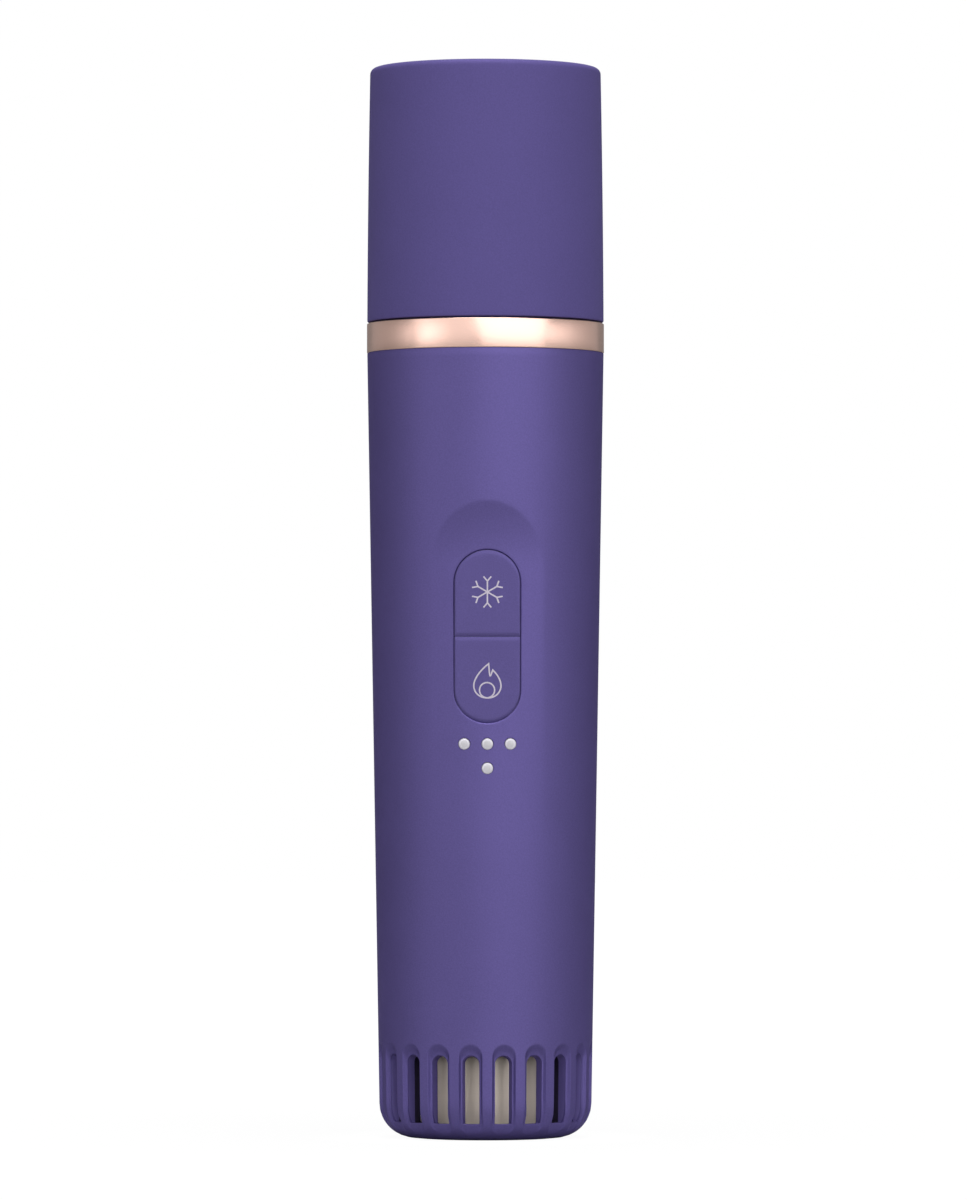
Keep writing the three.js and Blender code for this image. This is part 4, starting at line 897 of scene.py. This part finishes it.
def milky(name, colour, ground):
    """Milky acrylic: smooth and cloudy inside, with the ends of its pins greyer in the middle."""
    acrylic = Finish(name, IOR=1.49)
    where = acrylic.place()
    clouds = acrylic.noise(where, 0.8, detail=3.0)
    nearest = lens_radius  # how far the middle of the nearest lens is
    for x, z in lamp_places:
        spots = {0: where * (1, 0, 1), 1: (x, 0, in_panel(x, 0, z)[2])}
        away = acrylic.node("VectorMath", {"operation": "DISTANCE"}, spots, out=1)
        nearest = acrylic.node("Math", {"operation": "MINIMUM"}, {0: nearest, 1: away})
    tone = acrylic.ramp(nearest, (grey_from, ground), (grey_to, colour))
    roughness = 0.26 + clouds * 0.1
    acrylic.feed(acrylic.shader, {"Base Color": tone * (clouds * 0.08 + 0.96), "Roughness": roughness})
    acrylic.relief(clouds, 0.004)
    return acrylic.material


guide = light_guide_solid()
acrylic = milky("milky_acrylic", milky_white, lens_middle_grey)
lamp_lenses = build("lamp_lenses", guide.points, guide.faces, acrylic)
seat(lamp_lenses, "root", "lamp_milky", "light_guide")


# Motor can: a deep-drawn aluminium cup, anodised pale champagne, whose skirt reaches down round the pad that
# it stands on. The vents show it.
motor_foot, motor_top, motor_radius, motor_wall = 2.9, 16.9, 10.4, 0.8
can_skirt_bore, can_skirt_foot = 9.75, 2.43
champagne = (1.0, 0.88, 0.76)
can_corners = [
    (0, motor_foot, 0),
    (can_skirt_bore, motor_foot, 0.1),
    (can_skirt_bore, can_skirt_foot, 0.1),
    (motor_radius, can_skirt_foot, 0.12),
    (motor_radius, motor_top, 0.3),
    (motor_radius - motor_wall, motor_top, 0.1),
    (motor_radius - motor_wall, motor_foot + motor_wall, 0.2),
    (0, motor_foot + motor_wall, 0),
]
can_painted_shade_heights = [(2.4, 1.0), (7.0, 0.92), (11.0, 0.78), (14.0, 0.62)]  # painted shade: darker towards the closed top, where the vents' hoods shade it


def turned(outline, sides=144, loop=False, middle=0):
    """Points and faces of an outline of (radius, height), up its outside, carried round an upright axis that
    stands that far to the right of the wand's."""
    points, rings = [], []
    for radius, z in outline:
        start = len(points)
        if radius < 1e-9:
            points.append((middle, 0, z))
            rings.append([start] * sides)
            continue
        turns = even(0, 2 * math.pi, sides)[:-1]
        points += [(middle + radius * math.sin(t), -radius * math.cos(t), z) for t in turns]
        rings.append(list(range(start, start + sides)))
    return points, strips([*rings, rings[0]] if loop else rings)


def lathe_metal(name, colour, roughness, lines=0.05, line_depth=0.0015, metallic=1.0, heights=None):
    """Turned and polished metal: fine lines that run round the wand's axis, and patches of softer polish.
    Heights are stops of (millimetres, tone) of painted shade, darker or brighter by height."""
    metal = Finish(name, Metallic=metallic)
    where = metal.place()
    x, y, z = where.parts()
    along = metal.node("CombineXYZ", {}, {"X": (x * x + y * y) ** 0.5, "Z": z})
    marks = metal.noise(along, lines, detail=3.0, roughness=0.7)
    patches = metal.noise(where, 6.0, detail=3.0)
    tone = metal.mottled(marks * 0.6 + patches * 0.4, colour, 0.95)
    if heights:
        low, high = heights[0][0], heights[-1][0]
        stops = [((height - low) / (high - low), (tint,) * 3) for height, tint in heights]
        # painted shade that changes with height
        tone = tone * metal.ramp((z - low) / (high - low), *stops)
    gloss = roughness + (marks - 0.5) * 0.06 + (patches - 0.5) * 0.08
    metal.feed(metal.shader, {"Base Color": tone, "Roughness": gloss})
    metal.relief(marks, line_depth)
    return metal.material


anodising_and_shade = dict(roughness=0.4, lines=0.12, metallic=0.5, heights=can_painted_shade_heights)
anodised = lathe_metal("champagne_anodised", champagne, **anodising_and_shade)
motor_cup = build("motor_cup", *turned(eased(can_corners, 4)), anodised)
seat(motor_cup, "root", "motor_can_metal", "motor_can")


# Charging socket: a drawn, nickel-plated steel mouth, soldered to its board behind the handle's opening. A
# black tongue with two rows of contacts stands in it.
port_mouth, port_length, port_deep, port_steel = 15.16, 7.35, 6.0, 0.35
port_shell_half_width, port_shell_half_height = 4.47, 1.63
mouth_depth, mouth_inset, mouth_ease = 0.12, 0.08, 0.02
tongue_half_width, tongue_half_height, tongue_near, tongue_corner = 3.3, 0.35, 0.35, 0.12
tip_inset, tip_half_height, tip_length, tip_corner = 0.15, 0.2, 0.2, 0.1
contact_count, contact_pitch, contact_half_width, contact_corner = 10, 0.58, 0.15, 0.02
contact_near, contact_length, contact_sunk, contact_proud = 0.85, 4.2, 0.1, 0.03
nickel_plate, tongue_black = (0.62, 0.6, 0.57), (0.02, 0.02, 0.022)


def at_port(x, depth, z):
    """A point of the socket: across it, into it from the handle's rear, and up it from its middle."""
    return -x, port_mouth - depth, port_height + z


def lying_pill(inset):
    """The mouth's outline, smaller by that inset."""
    return lying(port_shell_half_width - inset, port_shell_half_height - inset, 0)


def moulded(name, colour, roughness, grain=0.4, depth=0.01):
    """Moulded plastic or ceramic with the fine texture of its tool."""
    stuff = Finish(name)
    where = stuff.place()
    texture = stuff.noise(where, grain, detail=2.0)
    clouds = stuff.noise(where, 7.0, detail=3.0)
    tone = stuff.mottled(texture * 0.5 + clouds * 0.5, colour, 0.88)
    stuff.feed(stuff.shader, {"Base Color": tone, "Roughness": roughness + (clouds - 0.5) * 0.1})
    stuff.relief(texture, depth)
    return stuff.material


port_can, port_tongue, port_contacts = (Solid(at_port) for _ in range(3))
mouth_steps = [(port_steel, port_deep), (port_steel, mouth_depth), (port_steel - mouth_inset, mouth_ease)]
mouth_steps += [(port_steel / 2, 0), (mouth_inset, mouth_ease), (0, mouth_depth), (0, port_length)]
port_can.stack([(lying_pill(inset), depth) for inset, depth in mouth_steps])
tip = box_outline(tongue_half_width - tip_inset, -tip_half_height, tip_half_height, tip_corner)
tongue = box_outline(tongue_half_width, -tongue_half_height, tongue_half_height, tongue_corner)
port_tongue.stack([(tip, tongue_near), (tongue, tongue_near + tip_length), (tongue, port_deep + 0.1)])
for side in (-1, 1):
    heights = (tongue_half_height - contact_sunk, tongue_half_height + contact_proud)
    low, high = sorted(side * height for height in heights)
    for k in range(contact_count):
        middle = contact_pitch * (k - (contact_count - 1) / 2)
        pad = [(middle + x, z) for x, z in box_outline(contact_half_width, low, high, contact_corner)]
        port_contacts.stack([(pad, contact_near), (pad, contact_near + contact_length)])
nickel_finish = lathe_metal("nickel_plate", nickel_plate, roughness=0.28, lines=0.2, line_depth=0.002)
tongue_plastic = moulded("port_tongue_plastic", tongue_black, roughness=0.5)
for name, solid, finish, slot in (
    ("port_can", port_can, nickel_finish, "nickel"),
    ("port_tongue", port_tongue, tongue_plastic, "black_plastic"),
    ("port_contacts", port_contacts, nickel_finish, "nickel"),
):
    seat(build(name, solid.points, solid.faces, finish), "root", slot, "usb_port")


# Inside: the thermal stack, sink, chassis, cell, boards, fan, motor, screws and leads are kept as they were
# built. Each is finished by its slot, in the colour that the record gives.
track_width = 0.22  # of a board's copper tracks, as a share of their grid
level_share, grid_offset = 0.45, 0.37  # the offset keeps the faces of a board off the borders of the cells


def circuit_board(name, colour, roughness, grid, depth):
    """Glass-fibre board: short copper tracks, upright or level by chance, stand out a little, and paler,
    under glossy solder mask."""
    board = Finish(name, IOR=1.5)
    where = board.place()
    clouds = board.noise(where, 5.0, detail=3.0)
    spot = where / grid + grid_offset
    cell = board.node("VectorMath", {"operation": "FLOOR"}, {0: spot})
    upright = board.node("TexWhiteNoise", {}, {"Vector": cell}) > level_share
    across, _, up = (spot - cell - 0.5).parts()
    reach = (track_width / 2) ** 2
    track = upright * (across * across < reach) + (1 - upright) * (up * up < reach)
    tone = board.blend(track, board.mottled(clouds, colour, 0.85), tuple(1.9 * c + 0.01 for c in colour))
    board.feed(board.shader, {"Base Color": tone, "Roughness": roughness + track * 0.08})
    board.relief(track * 0.7 + clouds * 0.3, depth)
    return board.material


inner_looks = {  # how it is made to look, its roughness, and the size and depth of its texture in millimetres
    "grey_silicone": (moulded, 0.65, 0.25, 0.02),
    "peltier_ceramic": (moulded, 0.75, 0.12, 0.004),
    "black_foam": (moulded, 0.95, 0.5, 0.2),
    "heat_sink_aluminium": (lathe_metal, 0.38, 0.3, 0.004),
    "screw_steel": (lathe_metal, 0.3, 0.1, 0.002),
    "black_plastic": (moulded, 0.55, 0.4, 0.01),
    "white_plastic": (moulded, 0.4, 0.6, 0.004),
    "battery_sleeve": (moulded, 0.28, 3.0, 0.03),
    "nickel": (lathe_metal, 0.3, 0.2, 0.002),
    "board_green": (circuit_board, 0.3, 1.3, 0.02),
    "magnet_iron": (lathe_metal, 0.35, 0.15, 0.002),
    "copper_winding": (lathe_metal, 0.35, 0.45, 0.04),
    "bearing_bronze": (lathe_metal, 0.5, 0.15, 0.01),
    "red_wire": (moulded, 0.42, 1.5, 0.005),
    "black_wire": (moulded, 0.42, 1.5, 0.005),
}
inner_finishes = {}
for entry in frame["record"]["materials"]:
    if entry["slot"] in inner_looks:
        make, *look = inner_looks[entry["slot"]]
        inner_finishes[entry["slot"]] = make(entry["slot"], tuple(entry["base_color"]), *look)
for entry in frame["record"]["subparts"]:
    if entry["material_slot"] in inner_finishes:
        node = frame["nodes"][entry["node"]]
        node.data.materials.clear()
        node.data.materials.append(inner_finishes[entry["material_slot"]])


# Trim ring: a turned band, polished and plated rose gold. Its lip is clamped between the handle's rim and the
# neck's flange.
ring_radius, ring_foot, ring_top = 19.0, 125.5, 130.2
ring_bevel, ring_band_bore, ring_lip_bore, ring_lip_top = 0.14, 17.9, 16.82, 126.7
ring_sides = 192
rose_gold = (0.9, 0.605, 0.51)
ring_corners = [
    (ring_lip_bore, ring_foot, 0.1),
    (ring_radius, ring_foot, ring_bevel),
    (ring_radius, ring_top, ring_bevel),
    (ring_band_bore, ring_top, 0.15),
    (ring_band_bore, ring_lip_top, 0.1),
    (ring_lip_bore, ring_lip_top, 0.1),
]
rose_gold_plate = lathe_metal("rose_gold_plate", rose_gold, roughness=0.25)
trim_band = build("trim_band", *turned(eased(ring_corners, 4, True), ring_sides, True), rose_gold_plate)
seat(trim_band, "root", "rose_gold", "trim_ring")


# Neck: moulded in the same plastic. It plugs into the handle, clamps the ring with its flange, lets the fan's
# air in through twelve slots that the cap covers, and has a boss at each side for a chassis screw.
neck_foot, neck_top, neck_radius, neck_bore = 117.5, 151.0, 16.518, 14.918
neck_flange_radius, neck_flange_foot, neck_flange_top = 17.618, 126.7, 128.2
seal_groove_foot, seal_groove_top, seal_groove_depth = 132.0, 134.0, 0.8
intake_count, intake_turn, intake_half_width, intake_foot, intake_top = 12, -255, 1.2, 135.2, 142.3
intake_rounding, neck_edge, neck_edge_rounding = 0.25, 0.3, 0.25
neck_outer_steps, neck_inner_steps = 22, 40
neck_boss_reach, neck_boss_radius, neck_boss_top = 13.518, 2.2, 124.0
screw_hole_radius, screw_hole_depth = 0.8, 5.0
neck_violet = (0.07, 0.056, 0.165)


def bored_pins(radius, foot, top, hole_depth, reach):
    """Two screw bosses, one at each side: pins with a blind hole up from the foot."""
    hole_top = foot + hole_depth
    corners = [(0, hole_top, 0), (screw_hole_radius, hole_top, 0), (screw_hole_radius, foot, 0.15)]
    corners += [(radius, foot, 0.25), (radius, top, 0.1), (0, top, 0)]
    return [turned(eased(corners, 3), 32, middle=side * reach) for side in (-1, 1)]


def neck_of_wand():
    """The tube with its slots, then its top edge, its plug, flange and groove, and the two bosses."""

    def slot(grow):
        return stadium(intake_half_width + grow, intake_foot - grow, intake_top + grow)

    def tube(radius):
        return lambda turn, z: (radius * math.sin(turn), -radius * math.cos(turn), z)

    shell, wall = Shell(), neck_radius - neck_bore
    facings = [math.radians(intake_turn + 360 * k / intake_count) for k in range(intake_count)]
    slots = [side_rows(facing, slot, lambda z: neck_radius, wall, intake_rounding) for facing in facings]
    low, foot, high = seal_groove_top + neck_edge, neck_foot + neck_edge, neck_top - neck_edge
    outer_foot, outer_top, inner_foot, inner_top = shell.walls(
        tube(neck_radius),
        even(low, high, neck_outer_steps),
        float,
        tube(neck_bore),
        even(foot, high, neck_inner_steps),
        slots,
    )

    def lathed(corners):
        return [shell.ring(*spot) for spot in eased(corners, 4)[1:-1]]

    over = [(neck_radius, high, 0), (neck_radius, neck_top, neck_edge_rounding)]
    over += [(neck_bore, neck_top, neck_edge_rounding), (neck_bore, high, 0)]
    shell.faces += strips([outer_top, *lathed(over), inner_top])
    groove_radius = neck_radius - seal_groove_depth
    under = [(neck_bore, foot, 0), (neck_bore, neck_foot, 0.2), (neck_radius, neck_foot, 0.25)]
    under += [(neck_radius, neck_flange_foot, 0.1), (neck_flange_radius, neck_flange_foot, 0.2)]
    under += [(neck_flange_radius, neck_flange_top, 0.35), (neck_radius, neck_flange_top, 0.3)]
    under += [(neck_radius, seal_groove_foot, 0.15), (groove_radius, seal_groove_foot, 0.1)]
    under += [(groove_radius, seal_groove_top, 0.1), (neck_radius, seal_groove_top, 0.15)]
    under.append((neck_radius, low, 0))
    shell.faces += strips([inner_foot, *lathed(under), outer_foot])
    bosses = bored_pins(neck_boss_radius, neck_foot, neck_boss_top, screw_hole_depth, neck_boss_reach)
    return joined((shell.points, shell.faces), *bosses)


neck_tube = build("neck_tube", *neck_of_wand(), soft_touch("violet_neck_plastic", neck_violet))
seat(neck_tube, "root", "neck_plastic", "neck_collar")


# Neck seal and head gasket: two rings moulded in grey silicone. The seal's crown rubs in the cap's bore; the
# gasket keeps the head's heat off the neck, and water out of it.
seal_inner, seal_crown, seal_shoulder, seal_foot, seal_top = 15.868, 17.018, 16.468, 132.15, 133.85
crown_foot, crown_top = 132.65, 133.35
gasket_radius, gasket_bore, gasket_foot, gasket_top = 16.018, 14.918, 151.0, 152.0
silicone_grey = (0.3, 0.29, 0.34)


def rubber(name, colour, roughness):
    """Silicone rubber, matt and faintly cloudy, with a fine orange-peel skin from its tool."""
    skin = Finish(name, IOR=1.42)
    where = skin.place()
    peel = skin.noise(where, 0.25, detail=2.0)
    clouds = skin.noise(where, 4.0, detail=4.0)
    tone = skin.mottled(clouds * 0.7 + peel * 0.3, colour, 0.85)
    skin.feed(skin.shader, {"Base Color": tone, "Roughness": roughness + (clouds - 0.5) * 0.12})
    skin.relief(peel, 0.02)
    return skin.material


seal_corners = [
    (seal_inner, seal_foot, 0.1),
    (seal_shoulder, seal_foot, 0.2),
    (seal_crown, crown_foot, 0.35),
    (seal_crown, crown_top, 0.35),
    (seal_shoulder, seal_top, 0.2),
    (seal_inner, seal_top, 0.1),
]
gasket_corners = [
    (gasket_bore, gasket_foot, 0.1),
    (gasket_radius, gasket_foot, 0.2),
    (gasket_radius, gasket_top, 0.2),
    (gasket_bore, gasket_top, 0.1),
]
silicone = rubber("grey_silicone_rubber", silicone_grey, roughness=0.62)
rubber_rings = [("seal_ring", seal_corners, "neck_seal"), ("gasket_ring", gasket_corners, "head_gasket")]
for name, corners, node in rubber_rings:
    rubber_ring = build(name, *turned(eased(corners, 4, True), loop=True), silicone)
    seat(rubber_ring, "root", "grey_silicone", node)


# Head: turned from aluminium, with a mirror-polished dome that touches the skin, a spigot in the neck and two
# screw bosses under it.
head_rim_radius, head_rim_foot, head_rim_top, head_top = 16.018, 152.0, 154.5, 165.0
head_spigot_radius, head_underside = 14.618, 149.0
head_boss_reach, head_boss_radius, head_boss_foot, head_boss_top = 12.318, 1.95, 144.8, 151.5
head_hole_depth, dome_steps, head_sides = 6.0, 48, 192
polished_silver = (0.83, 0.82, 0.84)


def head_of_wand():
    """The spigot, rim and dome turned as one, and the bosses under them."""
    rim = [(0, head_underside, 0), (head_spigot_radius, head_underside, 0.25)]
    rim += [(head_spigot_radius, head_rim_foot, 0.1), (head_rim_radius, head_rim_foot, 0.35)]
    outline = eased([*rim, (head_rim_radius, head_rim_top, 0)], 4)
    for bearing in even(0, math.pi / 2, dome_steps)[1:]:
        rise = (head_top - head_rim_top) * math.sin(bearing)
        outline.append((head_rim_radius * math.cos(bearing), head_rim_top + rise))
    bosses = bored_pins(head_boss_radius, head_boss_foot, head_boss_top, head_hole_depth, head_boss_reach)
    return joined(turned(outline, head_sides), *bosses)


mirror = lathe_metal("polished_aluminium", polished_silver, roughness=0.09, line_depth=0.0008)
head_dome = build("head_dome", *head_of_wand(), mirror)
seat(head_dome, "root", "polished_head", "head_plate")


# Cap: a deep cup moulded in the handle's plastic and sprayed with its coat, very slightly tapered and bulged,
# with a rounded rim. It slides over the neck, and the seal holds it.
cap_foot, cap_top, cap_foot_radius, cap_top_radius = 130.45, 171.25, 18.95, 18.48
cap_bulge, cap_rim, cap_foot_rounding, cap_wall, cap_roof = 0.08, 1.0, 0.25, 1.6, 1.8
cap_steps, cap_sides = 24, 192
cap_violet = (0.095, 0.0765, 0.229)


def cap_outline():
    """Up the outside from the foot of the bore to the axis, and back down the inside."""
    side = []
    for share in even(0, 1, cap_steps):
        radius = cap_foot_radius + (cap_top_radius - cap_foot_radius) * share
        side.append((radius + 4 * cap_bulge * share * (1 - share), cap_foot + (cap_top - cap_foot) * share))
    bore, ceiling = cap_foot_radius - cap_wall, cap_top - cap_roof
    outside = [(bore, cap_foot, 0), (*side[0], cap_foot_rounding), *((*spot, 0) for spot in side[1:-1])]
    outside += [(*side[-1], cap_rim), (0, cap_top, 0)]
    inside = [(0, ceiling, 0), (cap_top_radius - cap_wall, ceiling, cap_rim), (bore, cap_foot, 0)]
    return eased(outside, 8) + eased(inside, 6)[:-1]


cap_coat = soft_touch("violet_cap_coat", cap_violet, roughness=0.6, pearl=0.15, gloss=0.1)
cap_cup = build("cap_cup", *turned(cap_outline(), cap_sides, True), cap_coat)
seat(cap_cup, "cap", "cap_soft_touch", "cap_shell")


# Studio: a white table and wall, a broad bright softbox to the right, a dimmer one to the left, one overhead
# and a low curtain round both sides that fades towards the back. All is grey beyond them, as the ring mirrors
# it in the photo.
table_half, table_matt = 2500, 600  # the middle of the table shows the wand's shadow
table_near, table_off = 17, 30  # painted light: the table is whitest near the foot, to throw more light up onto it
near_white, off_white = 0.55, 0.34
table_glow, table_glow_share = 1.06, 0.9  # what the camera sees of it is mostly plain white
lamp_aim, lamp_away = 0.09, 0.9  # metres
softboxes = {  # turned from the front to the right and raised, in degrees, its width, height and glow
    "key_softbox": (26, 20, 1.18, 0.8, 1.84),
    "fill_softbox": (-41, 20, 1.2, 0.8, 0.84),
    "top_softbox": (0, 84, 0.6, 0.6, 7.2),
    "rear_softbox": (180, 40, 0.6, 0.6, 0.7),
}
curtain_rise, curtain_wide, curtain_tall = 5.6, 0.157, 0.2
curtain_glows = [
    (65, 1.4), (75, 1.15), (85, 0.95), (95, 0.62), (105, 0.45), (115, 0.32), (125, 0.25), (135, 0.2),
    (-42, 0.3), (-50, 0.6), (-58, 0.9), (-66, 0.6), (-80, 0.9), (-90, 0.5), (-100, 0.3), (-110, 0.22),
    (-120, 0.2), (-130, 0.18), (-140, 0.15),
]  # fmt: skip
for turn, glow in curtain_glows:
    softboxes[f"curtain_{turn}"] = (turn, curtain_rise, curtain_wide, curtain_tall, glow)
surroundings = 0.24

for name, (turn, rise, wide, tall, glow) in softboxes.items():
    lamp = bpy.data.objects.new(name, bpy.data.lights.new(name, "AREA"))
    scene.collection.objects.link(lamp)
    lamp.data.shape, lamp.data.size, lamp.data.size_y = "RECTANGLE", wide, tall
    lamp.data.energy = glow * math.pi * wide * tall
    lamp.visible_camera = False
    turn, rise = math.radians(turn), math.radians(rise)
    back = Vector((math.sin(turn) * math.cos(rise), -math.cos(turn) * math.cos(rise), math.sin(rise)))
    lamp.location = Vector((0, 0, lamp_aim)) + back * lamp_away
    lamp.rotation_euler = (-back).to_track_quat("-Z", "Y").to_euler()

table = Finish("white_table", Roughness=0.9)
away = table.node("VectorMath", {"operation": "LENGTH"}, {0: table.place()}, out=1)
soft_step = {"interpolation_type": "SMOOTHSTEP"}
# painted light: a whiter pool round the wand's foot
whitest = {"Value": away, 1: table_near, 2: table_off, 3: near_white, 4: off_white}
table.feed(table.shader, {"Base Color": table.node("MapRange", soft_step, whitest)})
plain = {"Value": away, 2: table_matt, 3: table_glow_share, 4: 1.0}
plain_share = table.node("MapRange", soft_step, plain)
table_light = table.node("Emission", {}, {"Color": (1.0, 1.0, 1.0), "Strength": table_glow})
seen = table.node("LightPath", {}, {}, out=0)
table_mix = table.node("MixShader", {}, {0: seen * plain_share, 2: table_light})
table.tree.links.new(table.shader.outputs[0], table_mix.socket.node.inputs[1])
table.tree.links.new(table_mix.socket, table.tree.nodes["Material Output"].inputs[0])
corners = [(-table_half, -table_half, 0), (table_half, -table_half, 0), (table_half, table_half, 0)]
floor = build("studio_table", [*corners, (-table_half, table_half, 0)], [(0, 1, 2, 3)], table.material)
floor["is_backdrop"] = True

world = bpy.data.worlds.new("studio")
scene.world = world
world.use_nodes = True
sky = world.node_tree
seen = sky.nodes.new("ShaderNodeLightPath")
level = sky.nodes.new("ShaderNodeMapRange")
sky.links.new(seen.outputs["Is Camera Ray"], level.inputs["Value"])
level.inputs["To Min"].default_value = surroundings
sky.links.new(level.outputs[0], sky.nodes["Background"].inputs["Strength"])
sky.nodes["Background"].inputs["Color"].default_value = (1, 1, 1, 1)
scene.view_settings.view_transform = "Standard"


# Size. The box of the finished wand is set beside the box of the solids, so that the two can be
# compared.
low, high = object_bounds()
{"cad": [list(cad_low), list(cad_high)], "visual": [list(low), list(high)]}
